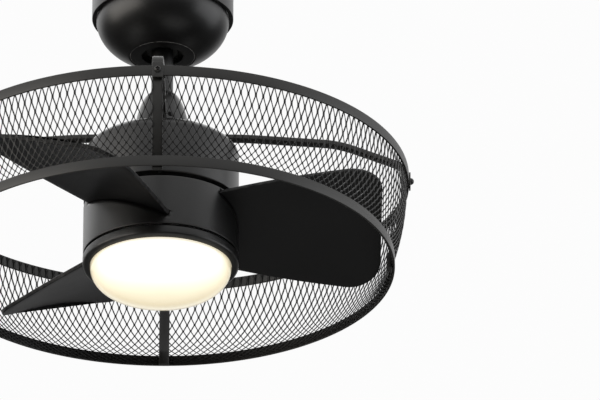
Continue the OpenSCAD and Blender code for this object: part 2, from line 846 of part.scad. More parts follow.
module motor_shaft() {
    color(STEEL) {
        ring(shaft_r, shaft_bore_r, at(shaft_foot), at(shaft_top));
        ring(pan_collar_r, shaft_r - eps, at(pan_top), at(pan_top + pan_collar_t));
    }
}

nut_h = 5;
nut_r = 14;

module shaft_nut() {
    color(STEEL)
        translate([0, 0, at(board_top - nut_h)])
            difference() {
                cylinder(r = nut_r, h = nut_h, $fn = 6);
                translate([0, 0, -1]) cylinder(r = shaft_r + fit, h = nut_h + 2);
            }
}

POLES = 12;
tooth_w = 8;
slot_in = 26;
slot_lip = 6;
slot_mouth = 3;

module stator_core() {
    slot_out = stator_r - slot_lip;
    half_in = 180 / POLES - asin(tooth_w / 2 / slot_in);
    half_out = 180 / POLES - asin(tooth_w / 2 / slot_out);
    color(STEEL)
        translate([0, 0, at(stator_mid) - stator_h / 2])
            difference() {
                cylinder(r = stator_r, h = stator_h);
                translate([0, 0, -1]) cylinder(r = shaft_r + fit, h = stator_h + 2);
                for (i = [0 : POLES - 1])
                    rotate([0, 0, (i + 0.5) * 360 / POLES]) translate([0, 0, -1])
                        linear_extrude(stator_h + 2)
                            polygon([slot_in * [cos(half_in), -sin(half_in)],
                                slot_out * [cos(half_out), -sin(half_out)], [slot_out, -slot_mouth / 2],
                                [stator_r + 1, -slot_mouth / 2], [stator_r + 1, slot_mouth / 2],
                                [slot_out, slot_mouth / 2],
                                slot_out * [cos(half_out), sin(half_out)],
                                slot_in * [cos(half_in), sin(half_in)]]);
            }
}

wire_w = 2.2;
coil_gap = 2;
coil_x = [slot_in + coil_gap, stator_r - slot_lip - 1.5];

module stator_windings() {
    inner_w = tooth_w + 2 * fit;
    inner_h = stator_h + 2 * fit;
    color(COPPER)
        for (i = [0 : POLES - 1])
            rotate([0, 0, i * 360 / POLES]) translate([0, 0, at(stator_mid)])
                difference() {
                    translate([coil_x[0], -inner_w / 2 - wire_w, -inner_h / 2 - wire_w])
                        cube([coil_x[1] - coil_x[0], inner_w + 2 * wire_w, inner_h + 2 * wire_w]);
                    translate([coil_x[0] - 1, -inner_w / 2, -inner_h / 2])
                        cube([coil_x[1] - coil_x[0] + 2, inner_w, inner_h]);
                }
}

rotor_eye_r = shaft_r + 1.5;
rotor_well_r = rotor_r - rotor_t - 2;

module rotor_upper_case() {
    color(METAL) {
        difference() {
            ring(rotor_r, rotor_eye_r, at(rotor_split), at(rotor_top));
            translate([0, 0, at(rotor_split) - 1])
                cylinder(r = rotor_well_r, h = rotor_top - rotor_split - rotor_t + 1);
        }
        ring(bearing_r + fit + rotor_t, bearing_r + fit, at(rotor_top - rotor_t - bearing_w),
            at(rotor_top - rotor_t + eps));
    }
}

module rotor_lower_case() {
    color(METAL) {
        difference() {
            ring(rotor_r, rotor_eye_r, at(rotor_foot), at(rotor_split));
            translate([0, 0, at(rotor_foot + rotor_t)])
                cylinder(r = rotor_well_r, h = rotor_split - rotor_foot);
            carrier_bolt_holes(rotor_foot - 1, rotor_t + 2);
        }
        ring(bearing_r + fit + rotor_t, bearing_r + fit, at(rotor_foot + rotor_t - eps),
            at(rotor_foot + rotor_t + bearing_w));
    }
}

magnet_over = 2;

module magnet_ring() {
    magnet_in = stator_r + air_gap;
    color(DARK)
        ring(min(magnet_in + magnet_t, rotor_well_r - fit), magnet_in,
            at(stator_mid) - stator_h / 2 - magnet_over, at(stator_mid) + stator_h / 2 + magnet_over);
}

race_w = 2.5;
shield_deep = 0.6;

// A shielded ball bearing, seen as its two races and shields
module bearing(low) {
    color(STEEL)
        difference() {
            ring(bearing_r, shaft_r + running, low, low + bearing_w);
            for (face = [low - eps, low + bearing_w - shield_deep])
                ring(bearing_r - race_w, shaft_r + running + race_w, face, face + shield_deep + eps);
        }
}

module upper_bearing() { bearing(at(rotor_top - rotor_t - bearing_w)); }
module lower_bearing() { bearing(at(rotor_foot + rotor_t)); }

// ---------------------------------------------------------------- hub and blades

BLADES = 3;
SIDE_STEPS = 8;
side_r = 200;
side_swell = 0.0005;
high_flare = 0.27;
low_flare = 0.11;
tip_slope = 0.068;
tip_corner_r = 37;

// Distance of a blade's side from its axis at a radius: straight outside side_r, a parabola inside
function side_y(r, share, flare) =
    blade_chord * share + flare * (r - side_r) - side_swell * pow(max(side_r - r, 0), 2);

// Point at which a straight side, on +Y or -Y by its sign, meets the sloping tip
function tip_corner(share, flare, sign, grow) =
    let (half = side_y(side_r, share, flare) + grow,
         r = (blade_r + grow + tip_slope * sign * (half - flare * side_r))
            / (1 - tip_slope * sign * flare))
    [r, sign * (half + flare * (r - side_r))];

// Blade outline: a wide high side on -Y, a sloping tip with round corners and a narrow low side
function blade_outline(grow) =
    let (high = blade_high_share, low = 1 - high, root = blade_root_r - grow,
         radii = [for (i = [0 : SIDE_STEPS]) root + (side_r - root) * i / SIDE_STEPS],
         high_line = [for (r = radii) [r, -side_y(r, high, high_flare) - grow]],
         low_line = [for (r = radii) [r, side_y(r, low, low_flare) + grow]],
         high_tip = tip_corner(high, high_flare, -1, grow),
         low_tip = tip_corner(low, low_flare, 1, grow))
    concat(high_line,
        corner(high_line[SIDE_STEPS], high_tip, low_tip, tip_corner_r, 8),
        corner(high_tip, low_tip, low_line[SIDE_STEPS], tip_corner_r, 8),
        backwards(low_line));

// The frame of one blade: +X out along it, +Z square to its upper face
module in_blade(i) {
    rotate([0, 0, blade_rest + 360 * i / BLADES]) translate([0, 0, at(blade_level)])
        rotate([-blade_pitch, 0, 0]) children();
}

CAMBER_STEPS = 720;
camber_room = 20;

// Body between two cylinders along the blade, half_t above and below its middle surface
module cambered(half_t) {
    $fn = CAMBER_STEPS;
    translate([0, 0, -blade_camber_r])
        difference() {
            rod_along_x(blade_camber_r + half_t, 0, cage_r);
            rod_along_x(blade_camber_r - half_t, -1, cage_r + 1);
        }
}

// A blade's plate, or the room round it, in its own frame
module blade_plate(grow) {
    intersection() {
        translate([0, 0, -camber_room]) linear_extrude(2 * camber_room) polygon(blade_outline(grow));
        cambered(blade_t / 2 + grow);
    }
}

// Height of the blade's underside in its own frame, at a distance from its axis
function blade_under(y) = sqrt(pow(blade_camber_r - blade_t / 2, 2) - y * y) - blade_camber_r;

BLADE_SCREWS = [[62, -15], [62, 15], [76, 0]];
blade_screw_r = 2.2;
blade_screw_head_r = 4;
blade_screw_proud = 0.5;

module blade(i) {
    color(METAL)
        in_blade(i)
            difference() {
                blade_plate(0);
                for (p = BLADE_SCREWS)
                    translate([p[0], p[1], -blade_t]) cylinder(r = blade_screw_r + fit, h = 2 * blade_t);
            }
}

module blade_screws() {
    color(STEEL)
        for (i = [0 : BLADES - 1])
            in_blade(i)
                for (p = BLADE_SCREWS)
                    translate([p[0], p[1], blade_under(abs(p[1]) + blade_screw_head_r)])
                        mirror([0, 0, 1])
                            up_screw(blade_screw_head_r, small_head_h, blade_screw_r,
                                blade_t + pad_t + blade_screw_proud);
}

boss_bore_r = pan_collar_r + 1;
pad_start = pan_collar_r + 6;

module blade_carrier() {
    color(STEEL)
        difference() {
            union() {
                ring(boss_r, boss_bore_r, at(boss_foot), at(web_foot));
                for (i = [0 : BLADES - 1])
                    in_blade(i) translate([pad_start, -pad_w / 2, 0])
                        cube([pad_r - pad_start, pad_w, blade_t / 2 + pad_t]);
            }
            for (i = [0 : BLADES - 1]) in_blade(i) cambered(blade_t / 2 + fit);
            translate([0, 0, at(boss_foot) - 1]) cylinder(r = boss_bore_r, h = web_foot - boss_foot + 2);
            for (i = [0 : BLADES - 1])
                in_blade(i)
                    for (p = BLADE_SCREWS)
                        translate([p[0], p[1], 0])
                            cylinder(r = blade_screw_r + fit, h = blade_t / 2 + pad_t + 1);
            carrier_bolt_holes(web_foot - carrier_bolt_l - 1, carrier_bolt_l + 2);
        }
}

carrier_bolt_ring_r = 21.5;
carrier_bolt_r = 2;
carrier_bolt_l = 8;
CARRIER_BOLTS = 3;
CARRIER_TURN = 60;

module at_carrier_bolts(low) {
    for (i = [0 : CARRIER_BOLTS - 1])
        rotate([0, 0, CARRIER_TURN + 360 * i / CARRIER_BOLTS])
            translate([carrier_bolt_ring_r, 0, at(low)]) children();
}

module carrier_bolt_holes(low, h) {
    at_carrier_bolts(low) cylinder(r = carrier_bolt_r + fit, h = h);
}

module carrier_bolts() {
    color(STEEL) {
        at_carrier_bolts(hub_top) cylinder(r = carrier_bolt_r, h = rotor_t - 0.5);
        at_carrier_bolts(web_foot - carrier_bolt_l)
            cylinder(r = carrier_bolt_r, h = web_t + carrier_bolt_l + eps);
    }
}

hub_round = 2.5;

module hub_shell() {
    web_in_r = boss_bore_r + 2;
    edge = corner([web_in_r, at(hub_top)], [hub_r, at(hub_top)], [hub_r, at(hub_foot)], hub_round, 5);
    color(METAL)
        difference() {
            rotate_extrude()
                polygon(concat([[web_in_r, at(hub_top)]], edge,
                    [[hub_r, at(hub_foot)], [hub_r - hub_t, at(hub_foot)],
                     [hub_r - hub_t, at(web_foot)], [web_in_r, at(web_foot)]]));
            for (i = [0 : BLADES - 1])
                in_blade(i) blade_plate(blade_gap);
            carrier_bolt_holes(web_foot - 1, web_t + 2);
        }
}

// ---------------------------------------------------------------- light

pan_wall = 2.4;
pan_lap = 2.5;
pan_foot = bezel_top - pan_lap;
groove_h = 5;
groove_top = pan_foot - 0.5;
groove_foot = groove_top - groove_h;
LUGS = 3;
lug_width = 16;
lug_out = 2.8;
lug_t = 2.7;
lug_low = groove_foot + 0.3;
bezel_in_r = diffuser_r + 0.5;

module sector(r, angle, turn, low, high) {
    rotate([0, 0, turn - angle / 2]) translate([0, 0, low])
        rotate_extrude(angle = angle) square([r, high - low]);
}

module lamp_pan() {
    color(OPAL)
        difference() {
            ring(pan_r, shaft_r + fit, at(pan_foot), at(pan_top));
            translate([0, 0, at(pan_foot) - 1])
                cylinder(r = pan_r - pan_wall, h = pan_top - pan_t - pan_foot + 1);
        }
}

bezel_round = 4;

module light_bezel() {
    edge = corner([bezel_r, at(bezel_top)], [bezel_r, at(bezel_foot)], [0, at(bezel_foot)], bezel_round, 6);
    groove_r = diffuser_r + lug_out + 0.6;
    color(METAL)
        difference() {
            rotate_extrude()
                polygon(concat([[pan_r + fit, at(bezel_top)], [bezel_r, at(bezel_top)]], edge,
                    [[bezel_in_r, at(bezel_foot)], [bezel_in_r, at(groove_foot)],
                     [groove_r, at(groove_foot)], [groove_r, at(groove_top)],
                     [pan_r + fit, at(groove_top)]]));
            for (i = [0 : LUGS - 1])
                sector(groove_r - 0.3, lug_width + 3, 360 * i / LUGS - bayonet_turn, at(bezel_foot - 1),
                    at(groove_foot + 1));
        }
}

board_in_r = nut_r + 4;
emitter_w = 3;
emitter_t = 0.8;
EMITTER_ROWS = [[10, 20], [28, 14], [46, 8]];

module light_board() {
    color(BOARD) ring(board_r, board_in_r, at(board_top - board_t), at(board_top));
}

// Each row is its distance in from the board's edge and its number of emitters
module light_emitters() {
    color(OPAL)
        for (row = EMITTER_ROWS, i = [0 : row[1] - 1])
            rotate([0, 0, 360 * i / row[1]])
                translate([board_r - row[0], 0, at(board_top - board_t) - emitter_t / 2])
                    cube([emitter_w, emitter_w, emitter_t], center = true);
}

BULGE_STEPS = 14;
skirt_top = groove_top - 1;

// Points of the diffuser's bulge from its rim to its lowest point
function bulge_line(inset) =
    [for (i = [0 : BULGE_STEPS])
        let (t = 90 * i / BULGE_STEPS)
        [(diffuser_r - inset) * cos(t), at(bezel_foot) - (diffuser_bulge - inset) * sin(t)]];

module diffuser() {
    color(OPAL) {
        rotate_extrude()
            polygon(concat([[diffuser_r - diffuser_t, at(skirt_top)], [diffuser_r, at(skirt_top)]],
                bulge_line(0), backwards(bulge_line(diffuser_t))));
        for (i = [0 : LUGS - 1])
            difference() {
                sector(diffuser_r + lug_out, lug_width, 360 * i / LUGS, at(lug_low), at(lug_low + lug_t));
                translate([0, 0, at(lug_low) - 1]) cylinder(r = diffuser_r - 1, h = lug_t + 2);
            }
    }
}

// ---------------------------------------------------------------- nodes

hanger_bracket();
canopy_bowl();
canopy_base_plate();
canopy_trim_ring();
canopy_screws();
receiver_box();
terminal_block();
ball_seat_liner();
hanger_ball();
ball_cross_pin();
downrod();
motor_coupling();
coupling_pin();
coupling_set_screws();
coupling_bolts();
coupling_cover();
cover_screws();
upper_housing();
housing_base_ring();
base_ring_screws();
motor_controller();
light_driver();
for (i = [0 : 3])
    cage_arm(90 * i);
arm_screws();
cage_top_ring();
cage_bottom_ring();
clamp_plates();
clamp_screws();
for (i = [0 : 3])
    mesh_panel(90 * i);
motor_shaft();
shaft_nut();
stator_core();
stator_windings();
rotor_upper_case();
rotor_lower_case();
magnet_ring();
upper_bearing();
lower_bearing();
hub_shell();
blade_carrier();
carrier_bolts();
for (i = [0 : BLADES - 1])
    blade(i);
blade_screws();
lamp_pan();
light_bezel();
light_board();
light_emitters();
diffuser();
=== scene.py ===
import math

import bmesh
import bpy
import numpy as np
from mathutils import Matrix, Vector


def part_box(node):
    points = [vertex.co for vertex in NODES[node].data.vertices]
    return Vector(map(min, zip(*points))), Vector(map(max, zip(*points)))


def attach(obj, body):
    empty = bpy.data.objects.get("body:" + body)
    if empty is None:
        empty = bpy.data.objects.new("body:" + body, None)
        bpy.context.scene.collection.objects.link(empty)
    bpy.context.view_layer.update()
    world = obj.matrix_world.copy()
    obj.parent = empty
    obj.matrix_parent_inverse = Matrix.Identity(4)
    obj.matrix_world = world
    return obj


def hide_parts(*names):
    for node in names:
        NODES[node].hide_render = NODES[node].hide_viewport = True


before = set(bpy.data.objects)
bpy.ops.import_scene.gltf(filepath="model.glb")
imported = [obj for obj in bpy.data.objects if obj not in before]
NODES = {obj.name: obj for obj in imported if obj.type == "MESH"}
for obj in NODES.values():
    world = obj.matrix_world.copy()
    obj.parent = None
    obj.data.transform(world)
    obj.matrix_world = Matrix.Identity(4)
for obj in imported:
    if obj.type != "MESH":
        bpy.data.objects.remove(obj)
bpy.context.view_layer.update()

# Looks of a caged ceiling fan. Metres, the ceiling plane at z = 0, the fan's axis on z, front at -y.
# Levels are millimetres above (+) or below (-) the cage's top edge, as a fan maker would mark them.

MM = 0.001


def corners(node):
    """Lowest and highest corner of a node in millimetres."""
    low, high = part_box(node)
    return np.array(low) / MM, np.array(high) / MM


def outer_radius(node):
    """Radius of a round node in millimetres."""
    return corners(node)[1][0]


CAGE_HIGH = corners("cage_top_ring")[1]
FOOT_LOW, FOOT_HIGH = corners("cage_bottom_ring")
CAGE_TOP = CAGE_HIGH[2]

# Gap between the canopy's bowl and what fits round it or into it.
PLAY = 0.1


def at(level):
    """Height in millimetres of a level on the cage."""
    return level + CAGE_TOP


def add_object(name, data):
    """A mesh, a lamp or the camera as an object at the origin."""
    added = bpy.data.objects.new(name, data)
    bpy.context.scene.collection.objects.link(added)
    return added


# ------------------------------ camera

def make_camera():
    """A long lens far in front of the fan and below it, turned a touch to its right."""
    look_up, look_right = 0.45141, 0.000785
    data = bpy.data.cameras.new("camera")
    data.lens = 484.3
    data.sensor_width = 36.0
    data.clip_end = 200.0
    camera = add_object("camera", data)
    camera.location = (0.161, -8.789, -4.537)
    camera.rotation_euler = (math.pi / 2 + look_up, 0.0, -look_right)
    bpy.context.scene.camera = camera


make_camera()


# ------------------------------ surfaces

def grid_faces(rows, cols, close_rows, close_cols):
    """Quads between neighbours on a rows x cols grid, wrapped round where it is closed."""
    i = np.arange(rows if close_rows else rows - 1)[:, None]
    j = np.arange(cols if close_cols else cols - 1)[None]
    i2, j2 = (i + 1) % rows, (j + 1) % cols
    return np.stack([i * cols + j, i * cols + j2, i2 * cols + j2, i2 * cols + j], -1).reshape(-1, 4)


def ladder(loop):
    """Quads that close a loop of points by rungs from one side of it to the other."""
    k = np.arange(len(loop) // 2 - 1)
    n = len(loop)
    return np.stack([loop[k], loop[k + 1], loop[n - 2 - k], loop[n - 1 - k]], -1)


def rounded(points, radii, steps=5):
    """Outline whose corner p is bridged by an arc: it starts r / tan(half the corner's angle) before p,
    and its centre lies on the corner's bisector at r / sin(half). Gives the points and a mark that
    rises from 0 at an arc's ends to 1 at its middle, where paint wears first and where the base
    plate's painted highlight goes."""
    points = np.array(points, float)
    before, after = np.roll(points, 1, 0), np.roll(points, -1, 0)
    line, mark = [], []
    for a, p, b, r in zip(before, points, after, radii):
        if r == 0:
            line.append(p[None])
            mark.append(np.zeros(1))
            continue
        u, v = (a - p) / np.linalg.norm(a - p), (b - p) / np.linalg.norm(b - p)
        half = np.arccos(np.clip(u @ v, -1, 1)) / 2
        centre = p + (u + v) / np.linalg.norm(u + v) * r / np.sin(half)
        s, e = p + u * r / np.tan(half) - centre, p + v * r / np.tan(half) - centre
        start = np.arctan2(s[1], s[0])
        turn = (np.arctan2(e[1], e[0]) - start + np.pi) % (2 * np.pi) - np.pi
        t = start + turn * np.linspace(0, 1, steps + 1)
        line.append(centre + r * np.stack([np.cos(t), np.sin(t)], -1))
        mark.append(np.sin(np.linspace(0, np.pi, steps + 1)))
    return np.concatenate(line), np.concatenate(mark)


def closed_mesh(name, points, faces):
    """A mesh of these points in millimetres, with its faces turned outwards."""
    mesh = bpy.data.meshes.new(name)
    mesh.from_pydata(np.asarray(points, float) * MM, [], faces)
    bm = bmesh.new()
    bm.from_mesh(mesh)
    bmesh.ops.recalc_face_normals(bm, faces=bm.faces)
    bm.to_mesh(mesh)
    bm.free()
    return mesh


def add_mark(mesh, name, values):
    """A number at each point of a mesh, which its material can read."""
    mark = mesh.attributes.new(name, "FLOAT", "POINT")
    mark.data.foreach_set("value", np.asarray(values, np.float32))


def make_piece(name, points, faces, body, material, replaces, edge=None, sharp=35):
    """A closed mesh with its edges marked, dressed and riding on its body."""
    mesh = closed_mesh(name, points, faces)
    if edge is not None:
        add_mark(mesh, "edge", edge)
    mesh.shade_smooth()
    mesh.set_sharp_from_angle(angle=math.radians(sharp))
    mesh.materials.append(material)
    piece = add_object(name, mesh)
    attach(piece, body)
    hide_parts(*replaces)
    return piece


def round_faces(turns, count, capped):
    """Quads of a profile of count points carried round the axis. The profile closes on itself, or each
    of its ends is capped by a small flat disc near the axis."""
    faces = grid_faces(turns, count, True, not capped)
    if not capped:
        return faces
    first = np.arange(turns) * count
    return np.concatenate([faces, ladder(first), ladder(first + count - 1)])


def revolve(profile, turns, capped=False):
    """Surface of revolution: a profile point (r, z) goes round as (r cos a, r sin a, z)."""
    a = 2 * np.pi * np.arange(turns)[:, None] / turns
    r, z = np.array(profile).T
    points = np.stack([r * np.cos(a), r * np.sin(a), z + 0 * a], -1).reshape(-1, 3)
    return points, round_faces(turns, len(r), capped)


def lathe(name, profile, mark, body, material, replaces, turns):
    """A piece turned on the fan's axis."""
    points, faces = revolve(profile, turns)
    return make_piece(name, points, faces, body, material, replaces, np.tile(mark, turns))


def sweep(path, side, up, section):
    """Tube along a path: at each path point a section point (s, t) lies at path + s side + t up, and
    each end is closed. Gives the points and quads."""
    s, t = section[..., 0][..., None], section[..., 1][..., None]
    points = path[:, None] + s * side[:, None] + t * up[:, None]
    rows, cols = points.shape[:2]
    loop = np.arange(cols)
    faces = [grid_faces(rows, cols, False, True), ladder(loop), ladder(loop + (rows - 1) * cols)]
    return points.reshape(-1, 3), np.concatenate(faces)


def join(parts):
    """Several (points, faces) or (points, faces, marks) as one."""
    starts = np.cumsum([0] + [len(p[0]) for p in parts[:-1]])
    joined = [np.concatenate([p[0] for p in parts]),
              np.concatenate([p[1] + start for p, start in zip(parts, starts)])]
    if len(parts[0]) > 2:
        joined.append(np.concatenate([p[2] for p in parts]))
    return joined


def slab(outline, thickness, edge, spans=1):
    """Plate with round edges: the outline is carried up as rings, drawn in by edge (1 - cos t) while it
    rises by edge sin t at the lower edge and the same way round at the upper one. Each side of the
    outline mirrors the other in order, so rungs across it, cut into spans, close both faces."""
    tangent = np.roll(outline, -1, 0) - np.roll(outline, 1, 0)
    tangent /= np.linalg.norm(tangent, axis=1)[:, None]
    inward = np.stack([-tangent[:, 1], tangent[:, 0]], -1)
    area = np.sum(outline[:, 0] * np.roll(outline[:, 1], -1) - outline[:, 1] * np.roll(outline[:, 0], -1))
    inward *= np.sign(area)
    t = np.linspace(0, np.pi / 2, 5)
    draw = edge * np.concatenate([1 - np.sin(t), 1 - np.cos(t)])
    rise = np.concatenate([edge * (1 - np.cos(t)), thickness - edge * (1 - np.sin(t))]) - thickness / 2
    flat = outline[None] + draw[:, None, None] * inward[None]
    rings = np.concatenate([flat, np.broadcast_to(rise[:, None, None], flat.shape[:2] + (1,))], -1)
    rows, cols = rings.shape[:2]
    half = cols // 2
    points, faces = [rings.reshape(-1, 3)], [grid_faces(rows, cols, False, True)]
    share = np.arange(1, spans)[None, :, None] / spans
    for end in (0, rows - 1):
        near, far = rings[end, :half], rings[end, ::-1][:half]
        inner = near[:, None] + (far - near)[:, None] * share
        first = sum(len(p) for p in points) + np.arange(half * (spans - 1)).reshape(half, -1)
        loop = np.arange(cols) + end * cols
        index = np.concatenate([loop[:half, None], first, loop[::-1][:half, None]], 1)
        points.append(inner.reshape(-1, 3))
        rungs = np.stack([index[:-1, :-1], index[:-1, 1:], index[1:, 1:], index[1:, :-1]], -1)
        faces.append(rungs.reshape(-1, 4))
    points = np.concatenate(points)
    mark = np.zeros(len(points))
    mark[cols:(rows - 1) * cols] = 1
    return points, np.concatenate(faces), mark


def turned(points, degrees, axis="z"):
    """Points turned about an axis."""
    c, s = math.cos(math.radians(degrees)), math.sin(math.radians(degrees))
    matrix = {"z": [[c, -s, 0], [s, c, 0], [0, 0, 1]], "x": [[1, 0, 0], [0, c, -s], [0, s, c]],
              "y": [[c, 0, s], [0, 1, 0], [-s, 0, c]]}[axis]
    return points @ np.array(matrix).T


# ------------------------------ material parts

def link(tree, source, target):
    """Joins an output socket to an input socket."""
    tree.links.new(source, target)


def axis_parts(tree, source):
    """Outputs X, Y and Z of a texture coordinate: Object, Normal or Generated."""
    split = tree.nodes.new("ShaderNodeSeparateXYZ")
    link(tree, tree.nodes.new("ShaderNodeTexCoord").outputs[source], split.inputs[0])
    return split.outputs


def read_mark(tree, name):
    """The number that add_mark gave to each point."""
    mark = tree.nodes.new("ShaderNodeAttribute")
    mark.attribute_name = name
    return mark.outputs["Fac"]


def colour_ramp(tree, stops):
    """A ramp through (position, colour) stops."""
    ramp = tree.nodes.new("ShaderNodeValToRGB")
    made = ramp.color_ramp.elements
    for end, (position, colour) in ((0, stops[0]), (1, stops[-1])):
        made[end].position = position
        made[end].color = (*colour, 1.0)
    for position, colour in stops[1:-1]:
        made.new(position).color = (*colour, 1.0)
    return ramp


def new_group(name, inputs, outputs):
    """An empty shader node group: inputs are (name, default), outputs are names, all plain numbers."""
    tree = bpy.data.node_groups.new(name, "ShaderNodeTree")
    for label, value in inputs:
        socket = tree.interface.new_socket(name=label, in_out="INPUT", socket_type="NodeSocketFloat")
        socket.default_value = value
    for label in outputs:
        tree.interface.new_socket(name=label, in_out="OUTPUT", socket_type="NodeSocketFloat")
    return tree, tree.nodes.new("NodeGroupInput"), tree.nodes.new("NodeGroupOutput")


def math_node(tree, kind, a, b=None, c=None, clamp=False):
    """A Math node; a, b and c are numbers or sockets."""
    node = tree.nodes.new("ShaderNodeMath")
    node.operation = kind
    node.use_clamp = clamp
    for socket, value in zip(node.inputs, (a, b, c)):
        if isinstance(value, bpy.types.NodeSocket):
            link(tree, value, socket)
        elif value is not None:
            socket.default_value = value
    return node.outputs[0]


def noise(tree, scale, detail, roughness, stretch=None):
    """Noise on Object coordinates; scale is a number or a socket, per metre."""
    coordinates = tree.nodes.new("ShaderNodeTexCoord").outputs["Object"]
    if stretch is not None:
        mapping = tree.nodes.new("ShaderNodeMapping")
        mapping.inputs["Scale"].default_value = stretch
        link(tree, coordinates, mapping.inputs["Vector"])
        coordinates = mapping.outputs[0]
    node = tree.nodes.new("ShaderNodeTexNoise")
    node.inputs["Detail"].default_value = detail
    node.inputs["Roughness"].default_value = roughness
    link(tree, coordinates, node.inputs["Vector"])
    if isinstance(scale, bpy.types.NodeSocket):
        link(tree, scale, node.inputs["Scale"])
    else:
        node.inputs["Scale"].default_value = scale
    return node.outputs["Fac"]


def grain_group():
    """Powder coat: a soft orange peel with fine grit on it, and patches that are a little glossier."""
    tree, given, out = new_group("powder_grain", [("Grain per metre", 700.0), ("Grit", 0.35)],
                                 ["Height", "Patches", "Grit mask"])
    grain, amount = given.outputs[0], given.outputs[1]
    peel = noise(tree, grain, 1.5, 0.45)
    grit = noise(tree, math_node(tree, "MULTIPLY", grain, 3.7), 2.0, 0.7)
    link(tree, math_node(tree, "MULTIPLY_ADD", grit, amount, peel), out.inputs["Height"])
    link(tree, noise(tree, 14.0, 4.0, 0.55), out.inputs["Patches"])
    spots = math_node(tree, "SUBTRACT", grit, 0.55)
    link(tree, math_node(tree, "MULTIPLY", spots, 4.0, clamp=True), out.inputs["Grit mask"])
    return tree


def wear_and_highlight_group():
    """The piece's edge mark, broken up by noise so that only parts of an edge show it: rubbed paint on
    most finishes, a painted highlight on the base plate.
    """
    tree, given, out = new_group("edge_wear_and_highlight", [("Amount", 0.5)], ["Mask"])
    broken = math_node(tree, "MULTIPLY_ADD", noise(tree, 90.0, 4.0, 0.6), 2.4, -0.75, clamp=True)
    edge_share = math_node(tree, "MULTIPLY", read_mark(tree, "edge"), broken)
    link(tree, math_node(tree, "MULTIPLY", edge_share, given.outputs[0], clamp=True), out.inputs["Mask"])
    return tree


def dust_group():
    """Dust settled where a surface looks up, in soft patches."""
    tree, given, out = new_group("settled_dust", [("Amount", 0.3)], ["Mask"])
    up = math_node(tree, "MULTIPLY_ADD", axis_parts(tree, "Normal")["Z"], 1.6, -0.6, clamp=True)
    patches = math_node(tree, "MULTIPLY_ADD", noise(tree, 35.0, 5.0, 0.65), 1.5, -0.25, clamp=True)
    both = math_node(tree, "MULTIPLY", up, patches)
    link(tree, math_node(tree, "MULTIPLY", both, given.outputs[0], clamp=True), out.inputs["Mask"])
    return tree


GRAIN, WEAR_AND_HIGHLIGHT, DUST = grain_group(), wear_and_highlight_group(), dust_group()
DARK_DUST, PALE_DUST = (0.21, 0.20, 0.18), (0.3, 0.29, 0.27)


def use_group(tree, group, *values):
    """The outputs of a group placed in a material with its own values."""
    node = tree.nodes.new("ShaderNodeGroup")
    node.node_tree = group
    for socket, value in zip(node.inputs, values):
        socket.default_value = value
    return node.outputs


def blend_colour(tree, mask, a, b):
    """Colour a where the mask is 0 and b where it is 1; each is a colour or a socket."""
    node = tree.nodes.new("ShaderNodeMix")
    node.data_type = "RGBA"
    link(tree, mask, node.inputs[0])
    for socket, value in ((node.inputs[6], a), (node.inputs[7], b)):
        if isinstance(value, bpy.types.NodeSocket):
            link(tree, value, socket)
        else:
            socket.default_value = (*value, 1.0)
    return node.outputs[2]


def new_material(name, **constants):
    """A material with its Principled shader's constants set on the shader's own sockets."""
    material = bpy.data.materials.new(name)
    material.use_nodes = True
    shader = material.node_tree.nodes["Principled BSDF"]
    for label, value in constants.items():
        shader.inputs[label.replace("_", " ")].default_value = value
    return material, material.node_tree, shader


def bump(tree, shader, height, distance):
    """Feeds a height, worth distance metres at 1, to the shader's normal."""
    node = tree.nodes.new("ShaderNodeBump")
    node.inputs["Strength"].default_value = 1.0
    node.inputs["Distance"].default_value = distance
    link(tree, height, node.inputs["Height"])
    link(tree, node.outputs[0], shader.inputs["Normal"])


def coated(name, colour, wear_and_highlight_colour, roughness, spread, grain, depth, wear_and_highlight, dust, specular=0.5, inside=0.0):
    """Powder coat or moulded black: colour with grit, a colour along the edges, dust on top and a fine
    bump.
    The edge colour is rubbed paint, and on the base plate a painted highlight. Inside is what the shine
    changes by where the piece's inside mark is 1, as its primer is dull."""
    grit_amount, grit_light, dust_rough = 0.35, 1.5, 0.4
    material, tree, shader = new_material(name)
    shader.inputs["Specular IOR Level"].default_value = specular
    if inside:
        shine = math_node(tree, "MULTIPLY_ADD", read_mark(tree, "inside"), inside, specular, clamp=True)
        link(tree, shine, shader.inputs["Specular IOR Level"])
    height, patches, grit = use_group(tree, GRAIN, grain, grit_amount)[:3]
    edge_share = use_group(tree, WEAR_AND_HIGHLIGHT, wear_and_highlight)[0]
    settled = use_group(tree, DUST, dust)[0]
    base = blend_colour(tree, grit, colour, tuple(c * grit_light for c in colour))
    base = blend_colour(tree, edge_share, base, wear_and_highlight_colour)
    base = blend_colour(tree, settled, base, DARK_DUST)
    link(tree, base, shader.inputs["Base Color"])
    rough = math_node(tree, "MULTIPLY_ADD", patches, spread, roughness - spread / 2)
    rough = math_node(tree, "MULTIPLY_ADD", settled, dust_rough, rough, clamp=True)
    link(tree, rough, shader.inputs["Roughness"])
    bump(tree, shader, height, depth)
    return material


def metal(name, colour, shade, roughness, stretch, scale=900.0, depth=0.00002):
    """Bare metal: drawn or cast grain that is noise stretched one way, in two shades."""
    spread, dust = 0.2, 0.25
    material, tree, shader = new_material(name, Metallic=1.0)
    lines = noise(tree, scale, 3.0, 0.6, stretch)
    base = blend_colour(tree, lines, colour, shade)
    settled = use_group(tree, DUST, dust)[0]
    link(tree, blend_colour(tree, settled, base, PALE_DUST), shader.inputs["Base Color"])
    rough = math_node(tree, "MULTIPLY_ADD", lines, spread, roughness - spread / 2)
    link(tree, rough, shader.inputs["Roughness"])
    bump(tree, shader, lines, depth)
    return material


